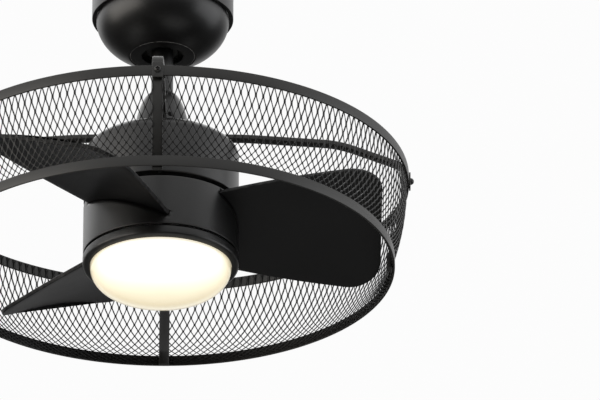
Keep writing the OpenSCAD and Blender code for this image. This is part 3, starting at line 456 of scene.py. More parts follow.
def moulded(name, colour, shade, roughness):
    """Moulded plastic: a faint mottle, a fine spark-eroded texture and a little dust."""
    grain, grit_amount, dust, grit_rough, depth = 1400.0, 0.6, 0.3, 0.15, 0.00003
    material, tree, shader = new_material(name)
    height, patches, grit = use_group(tree, GRAIN, grain, grit_amount)[:3]
    base = blend_colour(tree, patches, colour, shade)
    settled = use_group(tree, DUST, dust)[0]
    link(tree, blend_colour(tree, settled, base, PALE_DUST), shader.inputs["Base Color"])
    link(tree, math_node(tree, "MULTIPLY_ADD", grit, grit_rough, roughness), shader.inputs["Roughness"])
    bump(tree, shader, height, depth)
    return material


def opal_glow(name, rim):
    """Lit opal plastic. It glows warm white, with painted shade in its glow: dimmer and creamier where it
    is looked at aslant, and in the 5 mm under its rim. It has a clear coat with a faint warm tint."""
    material, tree, shader = new_material(
        name, Base_Color=(0.80, 0.79, 0.75, 1.0), Roughness=0.32, Coat_Weight=1.0,
        Coat_Roughness=0.12, Coat_Tint=(0.99, 0.97, 0.92, 1.0))
    facing = tree.nodes.new("ShaderNodeLayerWeight")
    facing.inputs["Blend"].default_value = 0.5
    # Painted shade: the ramp dims the glow and warms it as the dish is seen more aslant.
    ramp = colour_ramp(tree, [
        (0.00, (1.25, 1.25, 1.23)), (0.25, (1.20, 1.19, 1.12)), (0.40, (1.10, 1.09, 0.98)),
        (0.52, (0.99, 0.94, 0.74)), (0.66, (0.82, 0.72, 0.50)), (0.80, (0.66, 0.60, 0.42)),
        (1.00, (0.56, 0.50, 0.36))])
    cloud, rim_shade_colour, rim_shade_share, rim_shade_depth = 0.04, (0.66, 0.60, 0.46), 0.8, 0.005
    aslant_shade_with_cloud = math_node(tree, "MULTIPLY_ADD", noise(tree, 22.0, 3.0, 0.5), cloud, facing.outputs["Facing"])
    link(tree, math_node(tree, "SUBTRACT", aslant_shade_with_cloud, cloud / 2, clamp=True), ramp.inputs[0])
    height = axis_parts(tree, "Object")["Z"]
    # Painted shade under the bezel's rim: in the top 5 mm the glow turns to the dim rim shade colour.
    near_rim = math_node(tree, "MULTIPLY_ADD", height, 1 / rim_shade_depth, 1 - rim / rim_shade_depth, clamp=True)
    rim_shade_mask = math_node(tree, "MULTIPLY", near_rim, rim_shade_share)
    link(tree, blend_colour(tree, rim_shade_mask, ramp.outputs[0], rim_shade_colour), shader.inputs["Emission Color"])
    to_eye, to_room = 1.0, 0.2
    eye = tree.nodes.new("ShaderNodeLightPath").outputs["Is Camera Ray"]
    strength = math_node(tree, "MULTIPLY_ADD", eye, to_eye - to_room, to_room)
    link(tree, strength, shader.inputs["Emission Strength"])
    bump(tree, shader, noise(tree, 500.0, 1.0, 0.4), 0.00001)
    return material


JET, JET_WORN = (0.006, 0.006, 0.006), (0.06, 0.056, 0.05)
SATIN = coated("satin_black_coat", JET, JET_WORN, 0.36, 0.10, 700, 0.00002,
               wear_and_highlight=0.4, dust=0.04, specular=0.65)
CANOPY = coated("canopy_black_coat", JET, JET_WORN, 0.36, 0.10, 700, 0.00002,
                wear_and_highlight=0.4, dust=0.04, inside=-0.65, specular=0.65)
# The base plate's edge colour is near white: a painted highlight along its round edge, broken up by noise.
PLATE = coated("plate_black_coat", (0.011, 0.011, 0.011), (0.85, 0.84, 0.82), 0.36, 0.10, 700, 0.00002,
               wear_and_highlight=3.0, dust=0.04)
CAGE = coated("cage_black_coat", (0.011, 0.0105, 0.009), (0.07, 0.066, 0.06), 0.42, 0.10, 600, 0.00003,
              wear_and_highlight=0.4, dust=0.08, specular=0.58)
STRANDS = coated("mesh_black_coat", (0.009, 0.009, 0.0085), (0.06, 0.058, 0.052), 0.38, 0.12, 900, 0.00003,
                 wear_and_highlight=0.4, dust=0.08, specular=0.3)
BLADE = coated("blade_black", (0.004, 0.004, 0.0045), (0.10, 0.10, 0.10), 0.44, 0.08, 900, 0.00002,
               wear_and_highlight=0.6, dust=0.08, specular=0.2)
SCREW = coated("screw_black_oxide", (0.010, 0.010, 0.010), (0.10, 0.095, 0.09), 0.34, 0.15, 1500, 0.00003,
               wear_and_highlight=0.6, dust=0.05)
DULL_SCREW = coated("screw_dull_black", (0.003, 0.003, 0.003), (0.03, 0.03, 0.03), 0.55, 0.1, 1500, 0.00003,
                    wear_and_highlight=0.2, dust=0.02, specular=0.15)
ZINC = metal("zinc_plated_steel", (0.58, 0.58, 0.56), (0.44, 0.45, 0.46), 0.32, (1.0, 1.0, 0.15))
ALLOY = metal("cast_alloy", (0.47, 0.47, 0.46), (0.36, 0.36, 0.36), 0.55, (1.0, 1.0, 1.0), 500.0, 0.00008)
CORE = metal("core_laminations", (0.30, 0.30, 0.31), (0.16, 0.16, 0.165), 0.45, (0.02, 0.02, 1.0), 1600.0,
             0.00006)
COPPER = metal("enamelled_copper", (0.62, 0.30, 0.13), (0.40, 0.17, 0.07), 0.28, (0.05, 0.05, 1.0), 1100.0,
               0.00012)
MAGNET = coated("magnet_coat", (0.055, 0.055, 0.06), (0.16, 0.16, 0.16), 0.5, 0.1, 1200, 0.00003,
                wear_and_highlight=0.3, dust=0.1)
NYLON = moulded("black_nylon", (0.030, 0.030, 0.030), (0.040, 0.040, 0.039), 0.45)
CASE = moulded("case_plastic", (0.022, 0.022, 0.023), (0.032, 0.032, 0.032), 0.5)
TERMINAL = moulded("terminal_plastic", (0.74, 0.73, 0.69), (0.66, 0.65, 0.60), 0.4)
PAN = moulded("white_enamel", (0.80, 0.80, 0.78), (0.76, 0.76, 0.73), 0.35)
BOARD = moulded("board_solder_mask", (0.82, 0.83, 0.81), (0.76, 0.77, 0.75), 0.45)
EMITTER = moulded("emitter_phosphor", (0.86, 0.70, 0.22), (0.80, 0.60, 0.16), 0.25)
OPAL = opal_glow("lit_opal", corners("light_bezel")[0][2] * MM)


# ------------------------------ canopy and hanger

# Points round a large turned piece.
ROUND = 192


def canopy_bowl():
    """Bowl under a neck. Its side is a quarter ellipse cut off flat: r = a cos t, z = trim - c sin t. The
    faces that look into the canopy are marked as its inside."""
    wall, neck, sag, lip, eye, rim_edge, seam = 1.6, 77.4, 57.5, 1.5, 29.9, 1.2, 0.2
    low, high = corners("canopy_bowl")
    trim = corners("canopy_trim_ring")[0][2]
    plate = outer_radius("canopy_base_plate") + PLAY

    def side(inset):
        """The bowl's side, drawn in by a wall."""
        last = np.arcsin((trim - low[2] - inset) / (sag - inset))
        t = last * np.linspace(0, 1, 40)
        return np.stack([(high[0] - inset) * np.cos(t), trim - (sag - inset) * np.sin(t)], -1)

    outer, inner = side(0), side(wall)
    floor = low[2] + lip + wall
    inner = inner[(inner[:, 1] > floor + seam) & (inner[:, 1] < trim - wall - seam)]
    ledge = (high[0] - wall) * math.sqrt(1 - (wall / (sag - wall)) ** 2)
    outside = [(neck - wall, high[2]), (neck, high[2]), (neck, trim), *outer, (plate, low[2]),
               (plate, low[2] + lip)]
    inside = [(eye, low[2] + lip), (eye, floor), *inner[::-1], (ledge, trim - wall),
              (neck - wall, trim - wall)]
    radii = np.zeros(len(outside) + len(inside))
    radii[2 + len(outer)] = rim_edge
    profile, mark = rounded(outside + inside, radii)
    bowl = lathe("bowl", profile, mark, "ceiling_mount", CANOPY, ["canopy_bowl"], ROUND)
    add_mark(bowl.data, "inside", np.tile(np.arange(len(profile)) >= len(profile) - len(inside), ROUND))


def flat_ring(name, node, inner, body, material, edge, turns=ROUND, inner_edge=None):
    """Band whose section is the node's own rectangle, with all four corners round."""
    low, high = corners(node)
    line = [(inner, low[2]), (high[0], low[2]), (high[0], high[2]), (inner, high[2])]
    inner_edge = edge if inner_edge is None else inner_edge
    profile, mark = rounded(line, [inner_edge, edge, edge, inner_edge])
    lathe(name, profile, mark, body, material, [node], turns)


def canopy_rings():
    """Plate round the canopy's hole, and the band over the bowl."""
    hole, plate_edge, band_edge = 25.4, 0.6, 0.9
    flat_ring("base_plate", "canopy_base_plate", hole, "ceiling_mount", PLATE, plate_edge,
              inner_edge=0)
    flat_ring("trim_band", "canopy_trim_ring", outer_radius("canopy_bowl") + PLAY, "ceiling_mount",
              SATIN, band_edge)


def downrod():
    """Steel tube with turned ends."""
    wall, edge = 2.8, 0.6
    flat_ring("rod", "downrod", outer_radius("downrod") - wall, "fan_frame", SATIN, edge, 96)


def coupling_cover():
    """Bell over the coupling, with u from 0 at its foot to 1 at its top: the way from the foot's radius
    to the neck's is 0.3 u + 0.7 (1 - sqrt(1 - u^2)), so its shoulder is round."""
    wall, bore, drop, foot_edge, neck_edge = 1.6, 13.65, 2.0, 0.3, 0.5
    top = corners("coupling_cover")[1][2] - drop
    land = corners("upper_housing")[1][2]
    foot, neck = 35.5, outer_radius("downrod") + 1.2

    def side(inset, end):
        """The bell's side up to a level, drawn in by a wall."""
        z = land + (end - land) * np.sin(np.linspace(0.01, np.pi / 2, 48))
        u = (z - land) / (end - land)
        way = 0.3 * u + 0.7 * (1 - np.sqrt(1 - u * u))
        return np.stack([np.maximum(foot + (neck - foot) * way - inset, bore), z], -1)

    outer, inner = side(0, top), side(wall, top - wall)
    line = [*outer, (bore, top), *inner[::-1]]
    radii = np.zeros(len(line))
    radii[0] = foot_edge
    radii[len(outer) - 1] = neck_edge
    profile, mark = rounded(line, radii)
    lathe("bell", profile, mark, "fan_frame", SATIN, ["coupling_cover"], 128)


# ------------------------------ screws

def screw(head_r, head_h, shank_r, shank_l):
    """Domed screw along +x: the head is a quarter ellipse turned about x. Its points on two bars,
    |y| < w and |z| < w, are pressed in, which makes the cross recess."""
    turns, steps, edge_share = 32, 14, 0.6
    t = np.linspace(np.pi / 2 * 0.97, 0, steps)
    r = np.concatenate([head_r * np.cos(t), [shank_r, shank_r]])
    x = np.concatenate([head_h * np.sin(t), [0, -shank_l]])
    a = 2 * np.pi * np.arange(turns)[:, None] / turns
    y, z = r * np.cos(a), r * np.sin(a)
    arm, w, press = head_r * 0.5, head_r * 0.13, head_h * 0.45
    bar = np.maximum((np.abs(y) < w) * (np.abs(z) < arm), (np.abs(z) < w) * (np.abs(y) < arm))
    bar = bar * (np.arange(len(r)) < steps)
    points = np.stack([x + 0 * a - bar * press, y, z], -1).reshape(-1, 3)
    mark = np.tile(np.where(np.arange(len(r)) < steps, edge_share, 0), turns)
    return points, round_faces(turns, len(r), True), mark


def round_the_axis(part, places, turns):
    """Copies of a part, moved to each place and then turned about the fan's axis by each angle, as one."""
    points, faces, mark = part
    return join([(turned(points + place, degrees), faces, mark) for degrees in turns for place in places])


QUARTERS = (0, 90, 180, 270)


def clamp_screws():
    """Four domed screws through the clamp plates."""
    shank_r, shank_l = 2.4, 13.0
    low, high = corners("clamp_screws")
    face, mid, head_r = outer_radius("clamp_plates"), (low[2] + high[2]) / 2, (high[2] - low[2]) / 2
    one = screw(head_r, high[0] - face, shank_r, shank_l)
    points, faces, mark = round_the_axis(one, [(face, 0, mid)], QUARTERS)
    make_piece("clamp_dome_screws", points, faces, "fan_frame", SCREW, ["clamp_screws"],
               mark)


def cover_screws():
    """Four small screws, in two pairs, round the bell."""
    head_r, head_h, shank_r, shank_end = 3.6, 1.8, 1.7, 18.0
    drop, apart, out = 3.2, 19.0, 32.0
    low, high = corners("cover_screws")
    mid = (low[2] + high[2]) / 2 - drop
    one = screw(head_r, head_h, shank_r, out - shank_end)
    turns = [side + way * apart for side in (-90, 90) for way in (-1, 1)]
    points, faces, mark = round_the_axis(one, [(out, 0, mid)], turns)
    make_piece("bell_screws", points, faces, "fan_frame", DULL_SCREW, ["cover_screws"],
               mark)


def arm_screws():
    """Two screws at the inner end of each arm."""
    head_r, shank_r = 3.5, 2.0
    low, high = corners("arm_screws")
    top = corners("cage_arm_right")[1][2]
    points, faces, mark = screw(head_r, high[2] - top, shank_r, top - low[2])
    upright = turned(points, -90, "y"), faces, mark
    points, faces, mark = round_the_axis(upright, [(42.5, 0, top), (49.5, 0, top)], QUARTERS)
    make_piece("arm_end_screws", points, faces, "fan_frame", SCREW, ["arm_screws"], mark)


# ------------------------------ motor housing, hub and light

def upper_housing():
    """Dome on a straight skirt. The dome is an ellipse's crown: r = a cos t, z = shoulder + c sin t."""
    shoulder, rise, wall, bore = at(26.0), 27.6, 2.6, 9.5
    top_edge, foot_edge, foot_inner_edge = 1.2, 1.6, 0.8
    low, high = corners("upper_housing")

    def dome(inset):
        """The crown, drawn in by a wall."""
        first = np.arcsin((high[2] - inset - shoulder) / (rise - inset))
        t = first * np.linspace(1, 0, 48)
        return np.stack([(high[0] - inset) * np.cos(t), shoulder + (rise - inset) * np.sin(t)], -1)

    outer, inner = dome(0), dome(wall)
    line = [(bore, high[2]), *outer, (high[0], low[2]), (high[0] - wall, low[2]), *inner[::-1],
            (bore, high[2] - wall)]
    radii = np.zeros(len(line))
    radii[1] = top_edge
    radii[len(outer) + 1:len(outer) + 3] = foot_edge, foot_inner_edge
    profile, mark = rounded(line, radii)
    lathe("housing_dome", profile, mark, "fan_frame", SATIN, ["upper_housing"], ROUND)


# A blade lies along x in its own frame. Its high side is at -y, and SIDE_R is where the widths are given.
BLADE_PITCH, BLADE_LEVEL, BLADE_T, BLADE_REST, CAMBER_R = 22.0, -70.8, 5.0, 4.75, 636.0
BLADE_ROOT, SIDE_R, SIDE_BOW, TIP_SLOPE, TIP_CORNER = 50.0, 200.0, 0.0005, 0.068, 37.0
BLADE_TIP = FOOT_HIGH[0] - 15.4
CHORD, HIGH_SHARE = 188.0, 0.604
BLADE_SIDES = ((-1, CHORD * HIGH_SHARE, 0.27), (1, CHORD * (1 - HIGH_SHARE), 0.11))


def side_width(r, half, flare):
    """How far a side lies off the blade's axis: half + flare (r - 200) - 0.0005 (200 - r)^2."""
    return half + flare * (r - SIDE_R) - SIDE_BOW * (SIDE_R - r) ** 2


def blade_outline(grow, steps=40):
    """Points round a blade, from its root out along the high side, over the tip and back along the low
    side. Past r = 200 a side runs on without its bow. The tip is the line x = tip + slope y, and an arc
    rounds each of its corners. Grow moves it all outwards."""
    r = np.linspace(BLADE_ROOT - grow, SIDE_R, steps)
    sides, tips = [], []
    for sign, half, flare in BLADE_SIDES:
        sides.append(np.stack([r, sign * side_width(r, half + grow, flare)], -1))
        slope = TIP_SLOPE * sign
        x = (BLADE_TIP + grow + slope * (half + grow - flare * SIDE_R)) / (1 - slope * flare)
        tips.append((x, sign * (half + grow + flare * (x - SIDE_R))))
    high, low = sides
    tip, _ = rounded([high[-1], tips[0], tips[1], low[-1]], [0, TIP_CORNER, TIP_CORNER, 0], 24)
    return np.concatenate([high[:-1], tip, low[::-1][1:]])


def camber(y):
    """How far a blade's middle falls at a distance y from its axis: R - sqrt(R^2 - y^2)."""
    return CAMBER_R - np.sqrt(CAMBER_R ** 2 - y ** 2)


def blade_plate(grow, edge):
    """A blade's cambered plate in its own frame."""
    points, faces, mark = slab(blade_outline(grow), BLADE_T + 2 * grow, edge, 14)
    points[:, 2] -= camber(points[:, 1])
    return points, faces, mark


def in_blade(points, i):
    """Points of one blade's own frame, pitched and turned to its place."""
    return turned(turned(points, -BLADE_PITCH, "x") + [0, 0, at(BLADE_LEVEL)], 120 * i + BLADE_REST)


def from_blade(points, i):
    """The same the other way: points of the fan in one blade's own frame."""
    return turned(turned(points, -120 * i - BLADE_REST) - [0, 0, at(BLADE_LEVEL)], BLADE_PITCH, "x")


def blades():
    """Three cambered plates with round edges."""
    edge = 1.0
    points, faces, mark = blade_plate(0, edge)
    for i in range(3):
        make_piece(f"fan_blade_{i + 1}", in_blade(points, i), faces, "rotor", BLADE,
                   [f"blade_{i + 1}"], mark, sharp=50)


SLOT_ROOM, SLOT_EDGE, ROLL_IN, ROLL_REACH = 0.6, 0.3, 1.5, 4.5


def roll_under_slots(points, wall_r):
    """Rolls the hub's skin in under each slot: r falls by 1.5 (1 - d / 4.5)^2 at a distance d < 4.5
    below the slot or beside that part of it."""
    far = 2 * ROLL_REACH
    near = np.full(len(points), far)
    for i in range(3):
        x, y, z = from_blade(points, i).T
        y = np.clip(y, -SIDE_R, SIDE_R)
        under = -camber(y) - BLADE_T / 2 - SLOT_ROOM - z
        beside = np.zeros(len(y))
        for sign, half, flare in BLADE_SIDES:
            beside = np.maximum(beside, sign * y - side_width(x, half + SLOT_ROOM, flare))
        here = (x > 0) & (under > -BLADE_T - 2 * SLOT_ROOM)
        near = np.minimum(near, np.where(here, np.hypot(np.maximum(under, 0), beside), far))
    skin = np.hypot(points[:, 0], points[:, 1]) > wall_r - 0.05
    drawn = np.where(skin, ROLL_IN * np.clip(1 - near / ROLL_REACH, 0, 1) ** 2, 0)
    points[:, :2] *= 1 - drawn[:, None] / wall_r


def cut_slots(drum):
    """Cuts a slot for each blade out of the hub."""
    room, sides, _ = blade_plate(SLOT_ROOM, SLOT_EDGE)
    points, faces = join([(in_blade(room, i), sides) for i in range(3)])
    cutter = add_object("slots", closed_mesh("slots", points, faces))
    cut = drum.modifiers.new("slots", "BOOLEAN")
    cut.object = cutter
    cut.solver = "EXACT"
    shaped = bpy.data.meshes.new_from_object(drum.evaluated_get(bpy.context.evaluated_depsgraph_get()))
    drum.modifiers.clear()
    drum.data = shaped
    shaped.set_sharp_from_angle(angle=math.radians(35))
    bpy.data.objects.remove(cutter)


def hub():
    """Turning drum: an L-shaped section round the axis, with a slot for each blade. Rows of points up
    its wall let the wall bend at the slots."""
    wall, web, bore, lift, rows = 2.5, 3.0, 17.0, 1.1, 64
    top_edge, foot_edge, foot_inner_edge = 1.2, 0.8, 0.4
    low, high = corners("hub_shell")
    foot = low[2] + lift
    skin = [(high[0], z) for z in np.linspace(high[2] - 2, foot + 2, rows)]
    line = [(bore, high[2]), (high[0], high[2]), *skin, (high[0], foot), (high[0] - wall, foot),
            (high[0] - wall, high[2] - web), (bore, high[2] - web)]
    profile, mark = rounded(line, [0, top_edge, *[0] * rows, foot_edge, foot_inner_edge, 0, 0], 6)
    drum = lathe("hub_drum", profile, mark, "rotor", SATIN, ["hub_shell"], 480)
    points = np.empty(3 * len(drum.data.vertices), np.float32)
    drum.data.vertices.foreach_get("co", points)
    points = points.reshape(-1, 3) / MM
    roll_under_slots(points, high[0])
    drum.data.vertices.foreach_set("co", (points * MM).ravel())
    drum.data.update()
    cut_slots(drum)


# The diffuser's widest part is its lugs, and they reach past the dish.
DISH_R = outer_radius("diffuser") - 4.2


def bezel():
    """Ring that holds the diffuser: round outer lower corner, the bayonet's groove inside, and a lip that
    stands up inside the hub's wall and shuts the gap between them: a dark band put in that gap as painted
    shade."""
    low, high = corners("light_bezel")
    bore, pan, groove, shade_lip_r = DISH_R + 0.5, 88.1, 90.0, 90.4
    # The lip is a dark band put in the gap under the hub as painted shade.
    top, lip = high[2] - 1.1, high[2] + 2.8
    groove_low, groove_high = high[2] - 8.0, high[2] - 3.0
    crisp, outer_bend, mouth_edge = 0.3, 4.0, 0.7
    line = [(pan, lip), (shade_lip_r, lip), (shade_lip_r, top), (high[0], top), (high[0], low[2]), (bore, low[2]),
            (bore, groove_low), (groove, groove_low), (groove, groove_high), (pan, groove_high)]
    profile, mark = rounded(line, [0, crisp, 0, crisp, outer_bend, mouth_edge, 0, 0, 0, 0], 8)
    lathe("bezel_ring", profile, mark, "fan_frame", SATIN, ["light_bezel"], ROUND)


def dish(wall, top, rim, pole):
    """Opal dish: a short skirt, then r = a cos^p t, z = rim - b sin^p t down to the pole. The power
    p = 0.9 makes it a little fuller than an ellipse."""
    power = 0.9

    def side(inset):
        """The dish from its rim to its pole, drawn in by a wall."""
        t = np.pi / 2 * 0.995 * np.sin(np.linspace(0.06, np.pi / 2, 64)) ** 1.5
        r = (DISH_R - inset) * np.cos(t) ** power
        return np.stack([r, rim - (rim - pole - inset) * np.sin(t) ** power], -1)

    return revolve([*side(wall)[::-1], (DISH_R - wall, top), (DISH_R, top), *side(0)], ROUND, True)


def bayonet_lug(middle, level, thick, tip):
    """A lug on the dish: a small rectangle carried along an arc of 16 degrees."""
    count, sink = 9, 0.8
    a = np.radians(middle + np.linspace(-8, 8, count))
    out = np.stack([np.cos(a), np.sin(a), 0 * a], -1)
    root = DISH_R - sink
    section = np.array([(root, 0), (tip, 0), (tip, thick), (root, thick)])[None]
    return sweep(np.tile([0.0, 0.0, level], (count, 1)), out, np.tile([0.0, 0.0, 1.0], (count, 1)), section)


def diffuser():
    """The dish and its three bayonet lugs."""
    wall, lug_level, lug_t = 2.4, at(-117.2), 2.7
    low, high = corners("diffuser")
    lugs = [bayonet_lug(120 * i, lug_level, lug_t, high[0]) for i in range(3)]
    points, faces = join([dish(wall, high[2], corners("light_bezel")[0][2], low[2]), *lugs])
    make_piece("opal_dish", points, faces, "diffuser", OPAL, ["diffuser"])


# ------------------------------ cage

# The mesh stands SEAT inside the rings. The bottom ring is smaller than the top one, so its wall leans in.
RING_T, RING_H, MESH_T, SEAT = 2.4, 13.0, 1.2, 0.2
CAGE_H = CAGE_TOP - FOOT_LOW[2]
WALL_TOP_R = CAGE_HIGH[0] - RING_T - SEAT
WALL_IN = CAGE_HIGH[0] - FOOT_HIGH[0]
WALL_RUN = CAGE_H - 2 * RING_H
WALL_ARC = (WALL_RUN ** 2 + WALL_IN ** 2) / (2 * WALL_IN)


def wall_r(level):
    """Outer radius of the mesh wall: straight behind the rings, and a circle's arc between them."""
    down = np.clip(-np.asarray(level, float) - RING_H, 0, WALL_RUN)
    return WALL_TOP_R - WALL_ARC + np.sqrt(WALL_ARC ** 2 - down ** 2)


def bend(a, p, b, r, steps):
    """The arc of radius r that rounds the corner p between a and b, without its neighbours."""
    line, _ = rounded([a, p, b], [0, r, 0], steps)
    return line[1:-1]


def arms():
    """Four flat bars. The section is a rectangle with round corners. It is carried along a line that
    runs level over the housing, falls to the knee and the shoulder, bends down and follows the wall."""
    width, thick, edge, end_draw = 12.7, 6.0, 0.9, 0.5
    shoulder, knee, flat_r, knee_r = 14.3, 46.3, 100.0, 215.0
    flat_bend, knee_bend, shoulder_bend = 520.0, 130.0, 13.0
    mid, inset = thick / 2, MESH_T + SEAT
    low, high = corners("cage_arm_right")
    top, foot = high[2] - CAGE_TOP - mid, low[2] - CAGE_TOP
    inner = wall_r(0) - inset
    slope = (shoulder - knee) / (inner - knee_r)
    start, flat, bow = (low[0], top), (flat_r, top), (knee_r, knee - mid)
    turn = (inner - mid, shoulder - mid - slope * (inset + mid))
    level = np.linspace(-RING_H, RING_H - CAGE_H, 24)
    lean = np.arcsin(np.clip(-level - RING_H, 0, None) / WALL_ARC)
    leg = np.stack([wall_r(level) - inset - mid / np.cos(lean), level], -1)
    foot_r = wall_r(-CAGE_H) - inset - mid
    line = np.concatenate([
        [start, (start[0] + end_draw, top)], bend(start, flat, bow, flat_bend, 6),
        bend(flat, bow, turn, knee_bend, 10), bend(bow, turn, (turn[0], foot), shoulder_bend, 14), leg,
        [(foot_r, foot + end_draw), (foot_r, foot)]])
    step = np.gradient(line, axis=0)
    step /= np.linalg.norm(step, axis=1)[:, None]
    path = np.stack([line[:, 0], 0 * line[:, 0], at(line[:, 1])], -1)
    up = np.stack([-step[:, 1], 0 * step[:, 0], step[:, 0]], -1)
    across = np.tile([0.0, 1.0, 0.0], (len(path), 1))
    half = np.array([width, thick]) / 2
    section, mark = rounded(half * [(-1, -1), (1, -1), (1, 1), (-1, 1)], [edge] * 4, 4)
    section, mark = np.roll(section, 2, 0), np.roll(mark, 2)
    sections = np.repeat(section[None], len(path), 0)
    sections[[0, -1]] = section * ((half - end_draw) / half)
    points, faces = sweep(path, across, up, sections)
    for i, side in enumerate(("right", "back", "left", "front")):
        make_piece(f"arm_{side}", turned(points, 90 * i), faces, "fan_frame", CAGE,
                   [f"cage_arm_{side}"], np.tile(mark, len(path)))


def rings():
    """The cage's top and bottom bands."""
    edge, turns = 0.5, 320
    for name, node in (("top_band", "cage_top_ring"), ("bottom_band", "cage_bottom_ring")):
        flat_ring(name, node, outer_radius(node) - RING_T, "fan_frame", CAGE, edge, turns)


def clamp_plates():
    """Four small plates outside the top ring."""
    width, corner, edge = 13.0, 1.6, 0.5
    low, high = corners("clamp_plates")
    half = np.array([width, high[2] - low[2]]) / 2
    outline, _ = rounded(half * [(-1, -1), (1, -1), (1, 1), (-1, 1)], [corner] * 4)
    points, faces, mark = slab(np.roll(outline, 3, 0), high[0] - CAGE_HIGH[0], edge)
    upright = points[:, [2, 0, 1]], faces, mark
    place = ((CAGE_HIGH[0] + high[0]) / 2, 0, (low[2] + high[2]) / 2)
    points, faces, mark = round_the_axis(upright, [place], QUARTERS)
    make_piece("clamp_pads", points, faces, "fan_frame", CAGE, ["clamp_plates"], mark)


# Diamonds all round, the level of the first row of bonds, the step to the next and how steps shrink.
DIAMONDS = 196
FIRST_BOND, FIRST_STEP, STEP_RATIO = -25.8, 14.2, 0.866


def bond_level(row):
    """Level of a row of bonds: each row's step is STEP_RATIO times the one above it."""
    return FIRST_BOND - FIRST_STEP * (1 - STEP_RATIO ** row) / (1 - STEP_RATIO)


def bond_row(level):
    """The same the other way: the row, with its fraction, that lies at a level."""
    return np.log(1 + (FIRST_BOND - level) * -(1 - STEP_RATIO) / FIRST_STEP) / np.log(STEP_RATIO)


def mesh_panel(index):
    """Expanded metal. Upright bands zigzag between neighbouring columns and touch the next band at
    each bond. Across a strand the section is turned, its lower side out, as slitting and pulling leave
    it. A band's point is (wall + radial, column angle, level), taken over all bands at once."""
    strand, thick, tilt, flat, tuck = 1.28, 0.85, 0.32, 0.13, 1.0
    half_pitch = np.pi / DIAMONDS
    first, last = bond_row(-tuck), bond_row(tuck - CAGE_H)
    bonds = np.arange(math.ceil(first), math.floor(last) + 1)
    row = np.concatenate([[first, last], bonds - flat, bonds + flat, bonds + 0.5])
    row = np.unique(np.clip(row, first, last))
    nearest = np.round(row)
    away = np.clip((np.abs(row - nearest) - flat) / (0.5 - flat), 0, 1) / 2 * np.sign(row - nearest)
    bands = np.arange(1, DIAMONDS // 2 - 1)[:, None]
    leans_left = (bands + nearest[None] + 1) % 2 == 0
    hug = strand / 2 / (WALL_TOP_R * half_pitch)
    here = bands + np.where(leans_left, hug, 1 - hug)
    there = bands + np.where(leans_left, 1 - hug, hug)
    column = here + (there - here) * np.abs(away)[None]
    slope = np.sign(there - here) * np.sign(away)[None] * np.abs(away)[None] * 2
    level = bond_level(row)[None] + 0 * column
    angle = math.radians(90 * index) + column * half_pitch
    wall = wall_r(level) - MESH_T / 2
    corners_of_strand = []
    for across, out in ((-1, -1), (1, -1), (1, 1), (-1, 1)):
        r = wall + out * thick / 2 - across * slope * tilt
        a = angle + across * strand / 2 / wall
        corners_of_strand.append(np.stack([r * np.cos(a), r * np.sin(a), at(level)], -1))
    points = np.stack(corners_of_strand, 2)
    count, length, sides = points.shape[:3]
    end = np.arange(sides)[None, ::-1]
    band = np.concatenate([grid_faces(length, sides, False, True), end, end + (length - 1) * sides])
    faces = (band[None] + (np.arange(count) * length * sides)[:, None, None]).reshape(-1, 4)
    make_piece(f"expanded_metal_{index + 1}", points.reshape(-1, 3), faces, "fan_frame",
               STRANDS, [f"mesh_panel_{index + 1}"], sharp=40)


# ------------------------------ nodes that keep their own shape

def dress(nodes, material):
    """Gives these nodes a finish."""
    for node in nodes:
        mesh = NODES[node].data
        if not mesh.materials:
            mesh.materials.append(material)
        for holder in NODES[node].material_slots:
            holder.material = material


def dress_nodes():
    """Finishes for the pieces inside, whose own shape is right."""
    dress(["hanger_bracket"], CAGE)
    dress(["ball_cross_pin", "coupling_pin", "coupling_set_screws", "coupling_bolts",
           "base_ring_screws", "motor_shaft", "shaft_nut", "upper_bearing", "lower_bearing",
           "carrier_bolts", "blade_screws"], ZINC)
    dress(["motor_coupling", "blade_carrier", "rotor_upper_case", "rotor_lower_case"], ALLOY)
    dress(["stator_core"], CORE)
    dress(["stator_windings"], COPPER)
    dress(["magnet_ring"], MAGNET)
    dress(["ball_seat_liner", "hanger_ball"], NYLON)
    dress(["receiver_box", "motor_controller", "light_driver"], CASE)
    dress(["terminal_block"], TERMINAL)
    dress(["lamp_pan"], PAN)
    dress(["light_board"], BOARD)
    dress(["light_emitters"], EMITTER)
    dress(["canopy_screws"], SCREW)
    dress(["housing_base_ring"], SATIN)


# ------------------------------ stage and light

def make_floor():
    """Round pale floor under the fan."""
    reach, drop, turns = 2.4, -2.7, 96
    a = 2 * np.pi * np.arange(turns) / turns
    rim = np.stack([reach * np.cos(a), reach * np.sin(a), drop + 0 * a], -1)
    mesh = bpy.data.meshes.new("floor")
    mesh.from_pydata(rim, [], [tuple(range(turns))])
    material, _, _ = new_material("pale_floor", Base_Color=(0.70, 0.70, 0.69, 1.0), Roughness=0.9)
    mesh.materials.append(material)
    add_object("floor", mesh)


def mix_shaders(tree, share, first, second):
    """The first shader where the share is 0 and the second where it is 1."""
    node = tree.nodes.new("ShaderNodeMixShader")
    for socket, source in zip(node.inputs, (share, first, second)):
        link(tree, source, socket)
    return node.outputs[0]


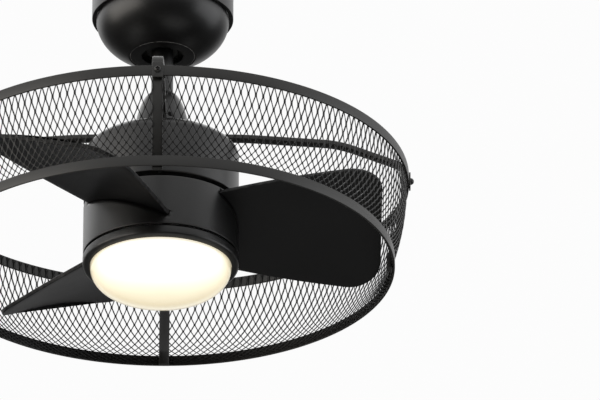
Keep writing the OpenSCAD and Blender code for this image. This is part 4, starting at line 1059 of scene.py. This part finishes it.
def make_world():
    """White to the eye. The object is lit and mirrored by a studio that is bright overhead and falls
    off below the horizon, with a soft glow low down behind the fan."""
    white, fill_strength, glow_lift = 0.975, 0.45, 0.17
    world = bpy.data.worlds.new("studio")
    bpy.context.scene.world = world
    world.use_nodes = True
    tree = world.node_tree
    tree.nodes.clear()
    output = tree.nodes.new("ShaderNodeOutputWorld")
    path = tree.nodes.new("ShaderNodeLightPath").outputs
    way = axis_parts(tree, "Generated")
    studio = colour_ramp(tree, [(0.46, (0.05, 0.05, 0.05)), (0.68, (0.95, 0.95, 0.95))])
    height = math_node(tree, "MULTIPLY_ADD", way["Z"], 0.5, 0.5)
    behind = math_node(tree, "MULTIPLY_ADD", way["Y"], 5.0, -4.0, clamp=True)
    off_level = math_node(tree, "ABSOLUTE", way["Z"])
    band = math_node(tree, "MULTIPLY_ADD", off_level, -3.5, 1.0, clamp=True)
    glow = math_node(tree, "MULTIPLY", behind, band)
    link(tree, math_node(tree, "MULTIPLY_ADD", glow, glow_lift, height), studio.inputs[0])
    seen, mirrored, fill = (tree.nodes.new("ShaderNodeBackground") for _ in range(3))
    seen.inputs[0].default_value = (white, white, white, 1.0)
    link(tree, studio.outputs[0], mirrored.inputs[0])
    link(tree, studio.outputs[0], fill.inputs[0])
    fill.inputs[1].default_value = fill_strength
    mirror = math_node(tree, "MAXIMUM", path["Is Glossy Ray"], path["Is Transmission Ray"])
    unseen = mix_shaders(tree, mirror, fill.outputs[0], mirrored.outputs[0])
    whole = mix_shaders(tree, path["Is Camera Ray"], unseen, seen.outputs[0])
    link(tree, whole, output.inputs["Surface"])


def lamp(name, place, aim, size, power, colour=(1.0, 1.0, 1.0)):
    """A soft oblong lamp at a place, turned to a point."""
    data = bpy.data.lights.new(name, "AREA")
    data.shape = "RECTANGLE"
    data.size, data.size_y = size
    data.energy = power
    data.color = colour
    away = np.array(place) - np.array(aim)
    added = add_object(name, data)
    added.location = place
    added.rotation_euler = (math.atan2(math.hypot(away[0], away[1]), away[2]), 0.0,
                            math.atan2(away[1], away[0]) + math.pi / 2)


def make_lamps():
    """A broad soft lamp at each side, level with the fan, one at the back left and one overhead."""
    middle = (0.0, 0.0, -0.2)
    lamp("left", (-2.75, -1.1, -0.25), middle, (3.6, 1.9), 54.0, (1.0, 0.95, 0.88))
    lamp("right", (3.0, -0.2, -0.3), middle, (3.0, 2.0), 28.0, (0.97, 0.98, 1.0))
    lamp("left_back", (-2.4, 1.9, 1.3), middle, (2.6, 2.2), 9.5)
    lamp("top", (0.0, 2.2, 2.6), middle, (3.2, 2.0), 30.0)


# ------------------------------ build

canopy_bowl()
canopy_rings()
downrod()
coupling_cover()
upper_housing()
cover_screws()
arm_screws()
arms()
rings()
clamp_plates()
clamp_screws()
for quarter in range(4):
    mesh_panel(quarter)
hub()
blades()
bezel()
diffuser()
dress_nodes()
make_floor()
make_world()
make_lamps()
bpy.context.scene.view_settings.view_transform = "Standard"

bpy.context.view_layer.update()
